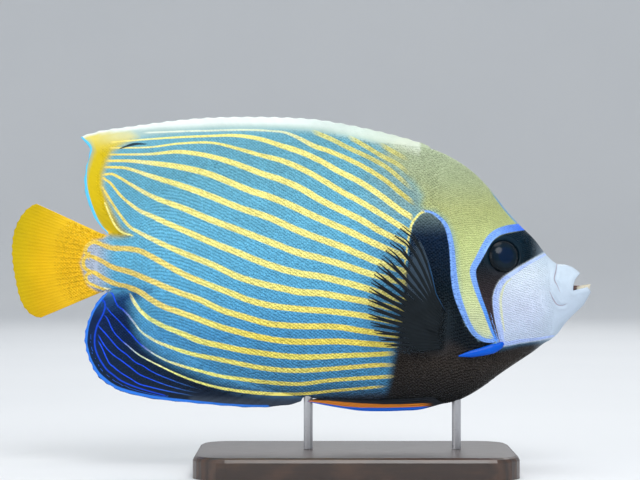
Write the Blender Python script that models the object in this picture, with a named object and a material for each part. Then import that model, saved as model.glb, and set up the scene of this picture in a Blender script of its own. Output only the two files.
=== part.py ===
"""Emperor angelfish, life size, as a still model on a display stand.

The fish swims level, its head towards +X and its right side towards -Y, with the mouth open, the
pectoral fins fanned out and the pelvic fins folded back. Sizes are in millimetres and become metres when
a mesh is made. The origin is on the floor, under the middle of the whole model.
"""

import math

import bmesh
import bpy
import numpy as np
from mathutils import Matrix, Vector

MM = 0.001
GAP = 0.3  # left between any two pieces that meet
REAR_GAP = 0.6  # the same at the rear of the middle fins' roots, because the body bends sharply there
THIN = 0.25  # least half thickness of a rounded edge
SLIVER = 0.02  # corners closer than this after a cut are joined
CROWDING = 1.6  # how strongly rows gather towards the back and the belly
AHEAD, ACROSS, UP = np.identity(3)

# Side view of the body without its fins: (x, height of the back) and (x, height of the belly)
BACK = (
    (-113.0, 131.6), (-102.0, 129.6), (-94.0, 130.2), (-83.5, 147.5), (-72.5, 157.0), (-56.0, 166.0),
    (-34.0, 173.0), (-11.5, 178.0), (10.5, 180.7), (32.5, 181.5), (55.0, 180.2), (76.0, 176.6),
    (86.0, 171.8), (96.0, 164.6), (104.5, 155.8), (113.0, 144.8), (121.0, 136.0), (129.5, 127.6),
    (135.5, 119.8), (141.5, 114.6), (146.5, 114.0), (151.0, 112.2), (154.5, 109.4), (160.0, 103.6),
)
BELLY = (
    (-113.0, 98.6), (-102.0, 99.9), (-94.0, 99.0), (-86.5, 86.5), (-78.0, 76.0), (-67.0, 66.0),
    (-50.5, 56.0), (-34.0, 49.2), (-17.0, 44.4), (0.0, 41.0), (16.0, 39.6), (33.0, 38.6), (55.0, 37.2),
    (66.0, 36.6), (77.0, 37.0), (88.0, 39.6), (99.0, 45.6), (110.0, 53.7), (118.5, 59.5), (128.0, 65.8),
    (135.0, 71.0), (138.5, 73.0), (141.5, 75.6), (147.0, 82.7), (152.5, 88.2), (156.5, 92.2), (160.0, 98.4),
)
# Greatest half breadth of the body, and the height at which it lies
BREADTH = (
    (-113.0, 1.9), (-109.0, 2.7), (-102.0, 4.3), (-94.0, 6.0), (-80.0, 8.6), (-60.0, 12.0), (-30.0, 16.0),
    (0.0, 19.0), (30.0, 21.4), (60.0, 23.0), (80.0, 23.4), (95.0, 22.2), (110.0, 19.2), (122.0, 15.6),
    (132.0, 12.0), (140.0, 9.4), (146.0, 7.9), (152.0, 6.2), (157.0, 4.4), (160.0, 2.6),
)
WIDEST = (
    (-113.0, 115.4), (-94.0, 114.6), (-60.0, 110.0), (0.0, 104.0), (60.0, 100.0), (95.0, 101.0),
    (120.0, 100.0), (140.0, 99.0), (160.0, 101.0),
)
# How round the section is at the back and the belly: 0.5 is an ellipse, 1 a lens
BACK_ROUNDING = ((-113.0, 0.5), (-80.0, 0.75), (40.0, 0.8), (90.0, 0.7), (125.0, 0.56), (160.0, 0.5))
BELLY_ROUNDING = ((-113.0, 0.5), (-80.0, 0.75), (-20.0, 0.75), (30.0, 0.55), (110.0, 0.6), (160.0, 0.5))
# Half thickness of the flesh that carries the back fin and the anal fin
BACK_RIDGE = (
    (-113.0, THIN), (-94.0, 0.8), (-70.0, 1.8), (-20.0, 2.4), (50.0, 2.2), (74.0, 1.0), (84.0, THIN),
)
BELLY_RIDGE = ((-113.0, THIN), (-94.0, 0.8), (-70.0, 1.8), (-25.0, 1.9), (-4.0, 0.9), (6.0, THIN))

PEDUNCLE_X = -94.0  # where the trunk ends and the tail stalk begins
NAPE_X = 81.5
THROAT_X = 127.0
SNOUT_TOP_X = 141.5
CHIN_X = 147.0

# Rear edge of the gill cover from throat to nape, rear edge of the cheek, and the seam behind the jaws
GILL_LINE = (
    (118.5, 66.3), (108.5, 68.8), (99.5, 71.6), (93.5, 77.5), (89.7, 85.8), (85.3, 96.3), (83.0, 108.5),
    (82.5, 122.3), (80.8, 132.3), (77.5, 139.5), (74.5, 145.5), (74.6, 151.5), (77.2, 161.0),
)
CHEEK_EDGE = (
    (110.5, 72.5), (106.8, 81.0), (101.8, 93.0), (97.9, 104.0), (95.8, 117.0), (95.2, 129.0), (93.0, 141.0),
)
COVER_ROWS = slice(6, 15)  # the rows of the flank along which the cover's plate follows the gill line
COVER_TOP = (84.5, 146.0)
COVER_PROUD, COVER_DEEP = 0.5, 1.5  # how far the plate reaches out of the flank and into it
COVER_FRONT_GAP = 0.4
JAW_HINGE = (144.0, 91.6)  # on that seam, where both jaws meet the cheek
LOWER_SEAM = ((145.3, 86.6), JAW_HINGE)
UPPER_SEAM = (JAW_HINGE, (141.4, 95.6), (140.1, 101.3), (140.2, 108.0))
JAW_SPLIT = 8 / 22  # share of the rows of the head that belongs to the lower jaw
UPPER_FOOT = (147.6, 93.2)
MOUTH_CORNER = (149.7, 99.8)
LIP_SEAM = (UPPER_FOOT, (149.2, 96.2), MOUTH_CORNER)  # between the upper jaw's foot and the lower jaw
UPPER_LIP = (MOUTH_CORNER, (150.0, 103.4), (151.5, 106.8))
LOWER_LIP = (MOUTH_CORNER, (153.2, 100.5), (156.4, 101.0), (158.4, 101.5))
LOWER_LIP_FRONT = (160.0, 99.0)
UPPER_TIP_X, LOWER_TIP_X = 154.2, 158.8
MOUTH_HALF = (8.0, 5.0, 3.5)  # half sizes of the hollow between the lips: along, up and across
MOUTH_CENTRE = (150.0, 0.0, 101.6)
LIP_ROUNDING = ((0.86, 0.96), (0.78, 0.93), (0.72, 0.92))  # at the corner of the mouth and along the lips
UPPER_CORNER_ROW, LOWER_CORNER_COLUMN, LOWER_COLUMNS = 3, 7, 16  # where the mouth's corner lies on each jaw
TEETH = 9
TEETH_TURN = math.radians(19)  # between one bristle and the next
TEETH_MIDDLE = (151.6, 100.1)
TEETH_REACH = (5.9, 3.2)  # ahead and across
TEETH_RISE = (1.6, 2.2)  # of every bristle, and what the front one has more
TEETH_LEAN = (0.6, 0.3)  # ahead and across
TEETH_RADII = (0.44, 0.16)

# Outer margins of the fins, from the rear of their root to its front
BACK_FIN_REAR = (
    (-107.5, 131.9), (-113.0, 138.2), (-117.0, 146.3), (-119.7, 155.5), (-119.7, 164.0), (-118.0, 172.2),
    (-116.8, 178.0), (-119.4, 182.0), (-122.3, 185.0),
)
BACK_FIN_TOP = (
    (-122.3, 185.0), (-111.0, 188.2), (-94.5, 190.6), (-78.0, 192.9), (-61.5, 194.7), (-45.0, 195.7),
    (-20.0, 195.9), (5.0, 194.8), (21.5, 192.4), (38.0, 189.1), (55.0, 184.9), (64.0, 182.2), (69.5, 180.4),
)
ANAL_FIN_REAR = (
    (-107.8, 98.6), (-112.0, 94.6), (-115.8, 88.0), (-119.0, 79.0), (-119.7, 71.4), (-117.0, 60.8),
    (-111.3, 51.2), (-100.5, 44.2),
)
ANAL_FIN_LOW = (
    (-100.5, 44.2), (-83.5, 40.2), (-61.5, 37.8), (-39.5, 35.9), (-28.0, 35.2), (-17.0, 35.5), (-6.0, 36.8),
    (-0.5, 38.2),
)
BACK_FIN_FOOT = (72.0, -105.5)  # x of the front and the rear of each root
ANAL_FIN_FOOT = (1.0, -105.0)
TAIL_ROOT = ((-109.0, 99.9), (-112.3, 106.5), (-113.4, 115.7), (-112.3, 124.5), (-109.0, 130.6))
TAIL_MARGIN = (
    (-144.5, 84.8), (-149.0, 86.3), (-153.3, 90.7), (-156.2, 97.4), (-158.4, 107.4), (-159.7, 115.7),
    (-160.0, 124.0), (-158.9, 132.3), (-155.6, 140.0), (-151.2, 145.3), (-146.8, 147.9),
)
PECTORAL_BASE = ((79.0, 68.5), (80.2, 76.5), (79.8, 85.5))
PECTORAL_TIPS = (
    (56.0, 65.8), (46.0, 70.6), (39.9, 78.0), (36.4, 87.0), (36.0, 96.0), (37.6, 105.7), (42.1, 115.7),
    (47.6, 126.2), (55.0, 137.0),
)
PECTORAL_FLARE = math.radians(17)  # how far the breast fin leans out from the flank
PECTORAL_SINK = 2.2  # depth of its root in the flank
PECTORAL_STEP = (3.0, 12.0)  # how far it stands off from the flank, and the length over which it gets there
PELVIC_BASE = ((72.0, 41.5), (78.5, 38.0))
PELVIC_TOP = (58.0, 40.4)
PELVIC_TIPS = ((39.0, 39.4), (30.0, 38.9), (21.0, 38.5), (13.0, 38.4), (5.5, 38.3))
PELVIC_LOW_EDGE = ((78.5, 38.0), (66.0, 34.9), (52.0, 34.0), (38.0, 34.2), (22.0, 36.3), (5.5, 38.3))
PELVIC_OUT = 6.6  # from the middle plane to the root
PELVIC_IN = 2.4  # how much nearer to it the tips are
PELVIC_LEAN = 0.10  # how much further out the fin lies for each millimetre up
PELVIC_LOWEST = 34.0

SPINES, BACK_RAYS, ANAL_RAYS, TAIL_RAYS, PECTORAL_RAYS, PELVIC_RAYS = 14, 20, 20, 17, 18, 6
# Half thickness of each fin's edge, height of its rays over the web, and depth of the notches between rays
BACK_FIN_WEB, BACK_FIN_RIDGE, BACK_FIN_NOTCH = 0.35, 0.32, 0.7
ANAL_FIN_WEB, ANAL_FIN_RIDGE, ANAL_FIN_NOTCH = 0.35, 0.30, 0.5
TAIL_FIN_WEB, TAIL_FIN_RIDGE, TAIL_FIN_NOTCH = 0.30, 0.30, 0.35
PECTORAL_WEB, PECTORAL_RIDGE, PECTORAL_NOTCH = 0.25, 0.22, 1.2
PELVIC_WEB, PELVIC_RIDGE = 0.30, 0.22
PECTORAL_ROOT_HALF, PELVIC_ROOT_HALF = 1.5, 1.1
TAPER, PECTORAL_TAPER, PELVIC_TAPER = 1.3, 2.4, 1.0  # how soon a fin thins away from its root
BACK_FIN_BEND, ANAL_FIN_BEND = (0.58, 1.35), (0.45, 1.4)  # share and power by which rays crowd at the rear
BACK_CORNER_RAY, ANAL_CORNER_RAY = 8, 12  # the ray at which the rear margin turns into the long one
EYE_AT = (110.9, 119.0)
EYE_HALF = (9.2, 9.2, 5.0)  # along the head, up it, and out of it
EYE_SUNK = 1.7
EYE_RIM = (0.5, 1.1)  # how far round the eye and how thick the ring of skin is
NOSTRILS = ((122.4, 127.4, 1.5), (128.2, 121.8, 1.3))  # x, height and length of each tube
NOSTRIL_RADII = (1.5, 1.25, 0.8)
NOSTRIL_ROOT = -1.5
BORE_RADIUS = 0.45
BORE_ENDS = (-0.3, 1.0)  # below the skin, and beyond the tube's end
CHEEK_SPINE = ((110.8, 71.4), (107.0, 69.2), (101.0, 67.4), (94.5, 66.0), (86.0, 64.6))
CHEEK_SPINE_RADII = (1.5, 2.7, 2.3, 1.8, 0.35)
CHEEK_SPINE_OUT = (0.6, 1.5)  # of the flank at its root and at its tip
CHEEK_SPINE_FLAT = 0.62

STAND_HEIGHT = 12.0
STAND_LENGTH, STAND_BREADTH, STAND_CORNER = 176.0, 104.0, 18.0
STAND_BEVEL, STAND_BEVEL_STEP = 2.5, 0.8
STAND_X = 30.0
ROD_RADIUS = 2.5
ROD_FRONT_X, ROD_REAR_X = 86.0, 4.0

SKIN_BLUE = ((0.10, 0.40, 0.62, 1.0), 0.38)
SKIN_YELLOW = ((0.85, 0.50, 0.02, 1.0), 0.40)
SKIN_DARK = ((0.012, 0.02, 0.03, 1.0), 0.40)
SKIN_WHITE = ((0.62, 0.68, 0.80, 1.0), 0.40)
SKIN_OLIVE = ((0.46, 0.50, 0.24, 1.0), 0.40)
SPINE_BLUE = ((0.01, 0.11, 0.50, 1.0), 0.35)
EYE_DARK = ((0.01, 0.02, 0.03, 1.0), 0.05)
STAND_BLACK = ((0.02, 0.02, 0.022, 1.0), 0.30)
STAND_STEEL = ((0.60, 0.60, 0.62, 1.0), 0.25)


def clear_scene():
    for thing in list(bpy.data.objects):
        bpy.data.objects.remove(thing)


def material(name, look, metallic=0.0):
    colour, roughness = look
    made = bpy.data.materials.new(name)
    made.use_nodes = True
    shader = made.node_tree.nodes["Principled BSDF"]
    shader.inputs["Base Color"].default_value = colour
    shader.inputs["Roughness"].default_value = roughness
    shader.inputs["Metallic"].default_value = metallic
    made.diffuse_color = colour
    return made


def height_curve(points):
    """A smooth function of x through the points."""
    x, y = np.array(points, float).T
    steps = np.diff(x)
    rise = np.diff(y) / steps
    inner = (rise[:-1] * steps[1:] + rise[1:] * steps[:-1]) / (steps[:-1] + steps[1:])
    slope = np.concatenate([rise[:1], inner, rise[-1:]])

    def curve(at):
        at = np.clip(at, x[0], x[-1])
        k = np.clip(np.searchsorted(x, at, side="right") - 1, 0, len(steps) - 1)
        t = (at - x[k]) / steps[k]
        start = y[k] * (1 + 2 * t) * (1 - t) ** 2 + slope[k] * steps[k] * t * (1 - t) ** 2
        end = y[k + 1] * t * t * (3 - 2 * t) + slope[k + 1] * steps[k] * t * t * (t - 1)
        return start + end

    return curve


def path(points, per_span=10):
    """A smooth path through the points, as a function of the share of its length."""
    p = np.array(points, float)
    p = np.concatenate([[2 * p[0] - p[1]], p, [2 * p[-1] - p[-2]]])
    t = np.arange(per_span)[:, None] / per_span
    dense = [
        0.5 * (2 * b + (c - a) * t + (2 * a - 5 * b + 4 * c - d) * t**2 + (3 * b - a - 3 * c + d) * t**3)
        for a, b, c, d in zip(p, p[1:], p[2:], p[3:])
    ]
    dense = np.concatenate([*dense, [p[-2]]])
    share = np.concatenate([[0], np.cumsum(np.linalg.norm(np.diff(dense, axis=0), axis=1))])
    share /= share[-1]
    return lambda s: np.stack([np.interp(s, share, column) for column in dense.T], axis=-1)


def joined(first, second, split):
    """Two paths end to end, the first up to the share at which they split."""

    def both(s):
        before = first(np.clip(s / split, 0, 1))
        after = second(np.clip((s - split) / (1 - split), 0, 1))
        return np.where((s < split)[:, None], before, after)

    return both


back, belly, breadth, widest = (height_curve(c) for c in (BACK, BELLY, BREADTH, WIDEST))
back_rounding, belly_rounding = height_curve(BACK_ROUNDING), height_curve(BELLY_ROUNDING)
back_ridge, belly_ridge = height_curve(BACK_RIDGE), height_curve(BELLY_RIDGE)
gill_line = path([(THROAT_X, belly(THROAT_X)), *GILL_LINE, (NAPE_X, back(NAPE_X))])
lower_seam = path([(CHIN_X, belly(CHIN_X)), *LOWER_SEAM])
upper_seam = path([*UPPER_SEAM, (SNOUT_TOP_X, back(SNOUT_TOP_X))])
jaw_seam = joined(lower_seam, upper_seam, JAW_SPLIT)
cheek_edge = path(CHEEK_EDGE)


def flank(x, z):
    """Half breadth of the body at a point of its side view."""
    up = z > widest(x)
    reach = np.where(up, back(x) - widest(x), widest(x) - belly(x))
    t = np.abs(z - widest(x)) / reach
    rounding = np.where(up, back_rounding(x), belly_rounding(x))
    flesh = breadth(x) * np.clip(1 - t * t, 0, 1) ** rounding
    ridge = np.where(up, back_ridge(x), belly_ridge(x))
    return np.cbrt(flesh**3 + ridge**3)


def flank_normal(x, z):
    step = 0.5
    slope_x = (flank(x + step, z) - flank(x - step, z)) / (2 * step)
    slope_z = (flank(x, z + step) - flank(x, z - step)) / (2 * step)
    return Vector((-float(slope_x), 1.0, -float(slope_z))).normalized()


def on_outline(outline, start, end):
    """The stretch of the back or the belly between two x."""
    x = np.linspace(start, end, 81)
    return path(np.stack([x, outline(x)], axis=-1), 1)


def even(count):
    return np.arange(count + 1) / count


def rounded(count):
    """Shares from 0 to 1 that crowd towards both ends, where a round section turns fastest."""
    return 0.5 - 0.5 * np.cos(math.pi * even(count))


def crowded_low(count):
    return even(count) ** CROWDING


def crowded_high(count):
    return 1 - (1 - even(count)) ** CROWDING


def flank_rows():
    """The rows that the trunk, the head and the jaws share, crowded towards the belly and the back."""
    return np.concatenate([crowded_low(8) * JAW_SPLIT, JAW_SPLIT + (1 - JAW_SPLIT) * crowded_high(14)[1:]])


def patch(rear, front, low, high, columns, rows):
    """Grid of (x, z) between four edges. Rear and front run upwards, low and high run forwards."""
    u, v = columns[:, None, None], rows[None, :, None]
    left, right = rear(rows)[None], front(rows)[None]
    bottom, top = low(columns)[:, None], high(columns)[:, None]
    corners = (1 - u) * ((1 - v) * bottom[:1] + v * top[:1]) + u * ((1 - v) * bottom[-1:] + v * top[-1:])
    return (1 - u) * left + u * right + (1 - v) * bottom + v * top - corners


def drawn_in(grid, rear=0.0, front=0.0, low=0.0, high=0.0):
    """The grid with its edges moved inwards by these distances."""
    made = grid.copy()
    edges = (
        (np.s_[0, :], grid[1] - grid[0], rear), (np.s_[-1, :], grid[-2] - grid[-1], front),
        (np.s_[:, 0], grid[:, 1] - grid[:, 0], low), (np.s_[:, -1], grid[:, -2] - grid[:, -1], high),
    )
    for where, inward, distance in edges:
        along = np.gradient(grid[where], axis=0)
        square = np.stack([-along[:, 1], along[:, 0]], axis=-1)
        square /= np.maximum(np.linalg.norm(square, axis=1, keepdims=True), 1e-9)
        square *= np.sign((square * inward).sum(axis=1, keepdims=True))
        made[where] += square * distance
    return made


def mesh_object(name, points, triangles, look):
    """A closed mesh in metres, with its faces pointing out."""
    p = np.array(points, float)
    f = np.array(triangles)
    if np.linalg.det(p[f]).sum() < 0:
        f = f[:, ::-1]
    mesh = bpy.data.meshes.new(name)
    mesh.from_pydata((p * MM).tolist(), [], f.tolist())
    mesh.materials.append(look)
    mesh.shade_smooth()
    mesh.set_sharp_from_angle(angle=math.radians(50))
    made = bpy.data.objects.new(name, mesh)
    bpy.context.scene.collection.objects.link(made)
    return made


def sheet(name, middle, half, look, across=ACROSS):
    """A closed solid: two faces, split alike, either side of a grid of points, with a wall round its edge."""
    a, b = middle.shape[:2]
    offset = half[..., None] * across
    points = np.concatenate([(middle + offset).reshape(-1, 3), (middle - offset).reshape(-1, 3)])
    index = np.arange(a * b).reshape(a, b)
    p, q, r, s = index[:-1, :-1], index[1:, :-1], index[1:, 1:], index[:-1, 1:]
    face = np.concatenate([np.stack(c, axis=-1).reshape(-1, 3) for c in ((p, q, r), (p, r, s))])
    ring = np.concatenate([index[:-1, 0], index[-1, :-1], index[:0:-1, -1], index[0, :0:-1]])
    after = np.roll(ring, -1)
    below, after_below = ring + a * b, after + a * b
    wall = np.concatenate([np.stack(c, 1) for c in ((ring, after_below, after), (ring, below, after_below))])
    return mesh_object(name, points, np.concatenate([face, face[:, ::-1] + a * b, wall]), look)


def on_plane(grid, y=0.0):
    """Points of the side view, (x, z), as points in space at this y."""
    return np.stack([grid[..., 0], np.broadcast_to(y, grid.shape[:-1]), grid[..., 1]], axis=-1)


def body_sheet(name, grid, look, rim=None):
    half = flank(grid[..., 0], grid[..., 1])
    if rim is not None:
        half = half * rim
    return sheet(name, on_plane(grid), np.maximum(half, THIN), look)


def fan(start, end, stations):
    """Lines from root to margin, the odd ones along the rays. The grid is (line, station)."""
    r = stations[None, :, None]
    return start[:, None] * (1 - r) + end[:, None] * r


def ray_half(lines, stations, root_half, edge_half, ridge, taper=TAPER):
    """Half thickness of a fin whose odd lines are raised as rays, lower towards the margin."""
    r = stations[None, :]
    web = edge_half + (np.broadcast_to(root_half, lines)[:, None] - edge_half) * (1 - r) ** taper
    lowering, rising = 0.6, 8
    raised = (np.arange(lines) % 2)[:, None] * ridge * (1 - lowering * r) * np.minimum(1, r * rising)
    return web + raised


def crowded_rear(share, bend):
    """Places along a fin's root that gather at its rear end."""
    part, power = bend
    return (1 - part) * share + part * share**power


def scalloped(grid, depth):
    """The webs between rays end short of the ray tips."""
    made = grid.copy()
    outward = grid[:, -1] - grid[:, -2]
    reach = np.linalg.norm(outward, axis=1, keepdims=True)
    between = (np.arange(len(grid)) % 2 == 0)[:, None]
    most = 0.4
    made[:, -1] -= outward * np.minimum(depth / reach, most) * between
    return made


def boolean(target, operation, others):
    """Applies one Boolean with these closed objects, removes them, and keeps the largest closed surface."""
    group = bpy.data.collections.new("pieces")
    for other in others:
        group.objects.link(other)
    step = target.modifiers.new(operation.lower(), "BOOLEAN")
    step.operation, step.solver = operation, "MANIFOLD"
    step.operand_type, step.collection = "COLLECTION", group
    bpy.context.view_layer.update()
    result = bpy.data.meshes.new_from_object(target.evaluated_get(bpy.context.evaluated_depsgraph_get()))
    target.modifiers.remove(step)
    close_slivers(result)
    target.data = result
    for other in others:
        bpy.data.objects.remove(other)
    bpy.data.collections.remove(group)
    keep_largest(target)


def close_slivers(mesh):
    """Joins corners that a cut has left closer together than SLIVER."""
    work = bmesh.new()
    work.from_mesh(mesh)
    bmesh.ops.triangulate(work, faces=work.faces)
    bmesh.ops.remove_doubles(work, verts=work.verts, dist=SLIVER * MM)
    bmesh.ops.dissolve_degenerate(work, edges=work.edges, dist=SLIVER * MM)
    bmesh.ops.triangulate(work, faces=work.faces)
    work.to_mesh(mesh)
    work.free()


def keep_largest(target):
    """Drops every loose scrap but the one with the most corners."""
    mesh = target.data
    parent = list(range(len(mesh.vertices)))

    def root_of(i):
        while parent[i] != i:
            parent[i] = parent[parent[i]]
            i = parent[i]
        return i

    for edge in mesh.edges:
        a, b = (root_of(i) for i in edge.vertices)
        parent[a] = b
    roots = [root_of(i) for i in range(len(parent))]
    largest = max(set(roots), key=roots.count)
    points = np.array([v.co for v in mesh.vertices]) / MM
    kept = [i for i, r in enumerate(roots) if r == largest]
    number = {old: new for new, old in enumerate(kept)}
    mesh.calc_loop_triangles()
    faces = [[number[i] for i in t.vertices] for t in mesh.loop_triangles if t.vertices[0] in number]
    look, name = mesh.materials[0], target.name
    bpy.data.objects.remove(target)
    mesh_object(name, points[kept], faces, look)


def node(name):
    return bpy.data.objects[name]


def mirrored(source, name, look):
    """The same piece on the other side of the fish."""
    mesh = node(source).data
    mesh.calc_loop_triangles()
    points = np.array([v.co for v in mesh.vertices]) / MM * (1, -1, 1)
    mesh_object(name, points, [tuple(t.vertices)[::-1] for t in mesh.loop_triangles], look)


def hidden(thing):
    thing.hide_render = True
    thing.display_type = "WIRE"
    return thing


def ellipsoid(name, centre, half, turn, look, around=18, along=9):
    """A closed ellipsoid whose third half size points along the turn's Z axis."""
    points = [(0.0, 0.0, half[2])]
    for i in range(1, along):
        polar = math.pi * i / along
        wide, up = math.sin(polar), half[2] * math.cos(polar)
        for j in range(around):
            angle = 2 * math.pi * j / around
            points.append((half[0] * wide * math.cos(angle), half[1] * wide * math.sin(angle), up))
    points.append((0.0, 0.0, -half[2]))
    last = len(points) - 1
    faces = []
    for j in range(around):
        k = (j + 1) % around
        faces.append((0, 1 + j, 1 + k))
        faces.append((last, last - around + k, last - around + j))
        for i in range(along - 2):
            a, b = 1 + i * around, 1 + (i + 1) * around
            faces += [(a + j, b + j, b + k), (a + j, b + k, a + k)]
    placed = [turn @ Vector(p) + Vector(centre) for p in points]
    return mesh_object(name, placed, faces, look)


def ring(name, centre, turn, radius, thick, look, around=18, section=5):
    """A torus round the turn's Z axis."""
    points, faces = [], []
    for i in range(around):
        a = 2 * math.pi * i / around
        for j in range(section):
            b = 2 * math.pi * j / section
            r = radius + thick * math.cos(b)
            at = Vector((r * math.cos(a), r * math.sin(a), thick * math.sin(b)))
            points.append(turn @ at + Vector(centre))
            i2, j2 = (i + 1) % around, (j + 1) % section
            p, q, s, t = i * section + j, i2 * section + j, i2 * section + j2, i * section + j2
            faces += [(p, q, s), (p, s, t)]
    return mesh_object(name, points, faces, look)


def tapered_rod(name, line, radii, look, sides=8, flat=1.0, out=ACROSS):
    """A rod along a line of points, with a radius for each. Flat scales it along out."""
    points = []
    for at, along, radius in zip(line, np.gradient(line, axis=0), radii):
        one = np.array(out, float) - along * np.dot(out, along) / np.dot(along, along)
        one /= np.linalg.norm(one)
        two = np.cross(along, one)
        two /= np.linalg.norm(two)
        for j in range(sides):
            a = 2 * math.pi * j / sides
            points.append(at + radius * (one * math.cos(a) * flat + two * math.sin(a)))
    rings = len(line)
    faces = []
    for i in range(rings - 1):
        for j in range(sides):
            k = (j + 1) % sides
            p, q, s, t = i * sides + j, i * sides + k, (i + 1) * sides + k, (i + 1) * sides + j
            faces += [(p, q, s), (p, s, t)]
    first, last = len(points), len(points) + 1
    points += [line[0], line[-1]]
    for j in range(sides):
        k = (j + 1) % sides
        faces += [(first, k, j), (last, (rings - 1) * sides + j, (rings - 1) * sides + k)]
    return mesh_object(name, points, faces, look)


def facing(side, x, z):
    """Turn that points Z out of the flank on this side, with X along the head and Y up it."""
    out = flank_normal(x, z)
    out.y *= side
    up = Vector((0, 0, 1))
    along = up.cross(out).normalized() * -side
    up = out.cross(along)
    return Matrix((along, up, out)).transposed()


def grown_flank(name, grid, swell):
    """The body over this grid, bigger all over by swell. It is a cutter."""
    grown = drawn_in(grid, -swell, -swell, -swell, -swell)
    half = flank(grid[..., 0], grid[..., 1]) + swell
    return hidden(sheet(name, on_plane(grown), half, bpy.data.materials["skin blue"]))


def stalk_joint(share):
    """The upright line on which the trunk meets the tail stalk."""
    low, high = belly(PEDUNCLE_X), back(PEDUNCLE_X)
    return np.stack([np.full_like(share, PEDUNCLE_X), low + (high - low) * share], axis=-1)


def trunk_grid():
    return patch(
        stalk_joint,
        gill_line,
        on_outline(belly, PEDUNCLE_X, THROAT_X),
        on_outline(back, PEDUNCLE_X, NAPE_X),
        even(26),
        flank_rows(),
    )


def head_grid():
    return patch(
        gill_line,
        jaw_seam,
        on_outline(belly, THROAT_X, CHIN_X),
        on_outline(back, NAPE_X, SNOUT_TOP_X),
        even(17),
        flank_rows(),
    )


def stalk_grid():
    return patch(
        path(TAIL_ROOT),
        stalk_joint,
        on_outline(belly, TAIL_ROOT[0][0], PEDUNCLE_X),
        on_outline(back, TAIL_ROOT[-1][0], PEDUNCLE_X),
        even(4),
        rounded(12),
    )


def trunk(look):
    body_sheet("trunk", drawn_in(trunk_grid(), GAP / 2, GAP / 2), look)


def tail_stalk(look):
    body_sheet("tail_stalk", drawn_in(stalk_grid(), GAP / 2, GAP / 2), look)


def gill_cover_grid():
    rear = path(gill_line(flank_rows()[COVER_ROWS]), 1)
    ends = np.array([0.0, 1.0])
    (low_rear, high_rear), (low_front, high_front) = rear(ends), cheek_edge(ends)
    low, high = path([low_rear, low_front]), path([high_rear, COVER_TOP, high_front])
    return patch(rear, cheek_edge, low, high, even(5), even(16))


def gill_cover(name, side, look, swell=0.0):
    """The plate over the gills. It stands proud of the flank, and most of it is sunk in the head."""
    proud, deep = COVER_PROUD + swell, COVER_DEEP + swell
    grid = drawn_in(gill_cover_grid(), GAP / 2 - swell, COVER_FRONT_GAP - swell, -swell, -swell)
    surface = flank(*np.moveaxis(gill_cover_grid(), -1, 0))
    middle = on_plane(grid, side * (surface + (proud - deep) / 2))
    half = np.full(surface.shape, (proud + deep) / 2)
    return sheet(name, middle, half, look)


def out_of_skin(side, x, z, depths):
    """Points on the line square to the flank, at these distances above the skin."""
    out = np.array(flank_normal(x, z)) * (1, side, 1)
    foot = np.array((x, side * float(flank(x, z)), z))
    return np.array([foot + out * depth for depth in depths])


def eye_rim(side, look):
    """The ring of skin round the eye."""
    x, z = EYE_AT
    around, thick = EYE_RIM
    centre = (x, side * (float(flank(x, z)) - around), z)
    return ring("rim", centre, facing(side, x, z), EYE_HALF[0] + around, thick, look)


def nostril_tube(side, x, z, length, look):
    line = out_of_skin(side, x, z, (NOSTRIL_ROOT, 0.0, length * 0.8))
    return tapered_rod("tube", line, NOSTRIL_RADII, look, 8, 1.0, UP)


def nostril_bore(side, x, z, length, look):
    line = out_of_skin(side, x, z, (BORE_ENDS[0], length + BORE_ENDS[1]))
    return tapered_rod("bore", line, (BORE_RADIUS, BORE_RADIUS), look, 6, 1.0, UP)


def head(look):
    body_sheet("head", drawn_in(head_grid(), GAP / 2, GAP / 2), look)
    sides = (-1, 1)
    tubes = [nostril_tube(side, *nostril, look) for side in sides for nostril in NOSTRILS]
    boolean(node("head"), "UNION", [eye_rim(side, look) for side in sides] + tubes)
    cutters = [gill_cover("pocket", side, look, GAP) for side in sides]
    cutters += [eye("socket", side, look, GAP) for side in sides]
    cutters += [nostril_bore(side, *nostril, look) for side in sides for nostril in NOSTRILS]
    boolean(node("head"), "DIFFERENCE", cutters)


def eye(name, side, look, swell=0.0):
    x, z = EYE_AT
    turn = facing(side, x, z)
    centre = Vector((x, side * float(flank(x, z)), z)) - turn.col[2] * EYE_SUNK
    return ellipsoid(name, centre, [h + swell for h in EYE_HALF], turn, look)


def lip_rim(shape, corner):
    """Shares of the full thickness that round off the lip, which is the last line beyond the corner."""
    rim = np.ones(shape)
    rows, known = np.arange(shape[1]), (corner, corner + 1, corner + 2)
    edge, inner = (np.interp(rows, known, values) for values in zip(*LIP_ROUNDING))
    rim[-1, corner:], rim[-2, corner:] = edge[corner:], inner[corner:]
    return rim


def upper_jaw(look):
    tip = (UPPER_TIP_X, back(UPPER_TIP_X))
    rows = crowded_high(14)
    grid = patch(
        upper_seam,
        joined(path(LIP_SEAM), path([*UPPER_LIP, tip]), rows[UPPER_CORNER_ROW]),
        path([JAW_HINGE, UPPER_FOOT]),
        on_outline(back, SNOUT_TOP_X, UPPER_TIP_X),
        even(8),
        rows,
    )
    rim = lip_rim(grid.shape[:2], UPPER_CORNER_ROW)
    made = body_sheet("upper_jaw", drawn_in(grid, GAP / 2, GAP / 2, GAP / 2, 0), look, rim)
    boolean(made, "DIFFERENCE", [mouth_hollow(look)])


def mouth_hollow(look):
    turn = Matrix.Rotation(math.radians(90), 3, "X")
    return ellipsoid("hollow", MOUTH_CENTRE, MOUTH_HALF, turn, look, 16, 10)


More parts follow.
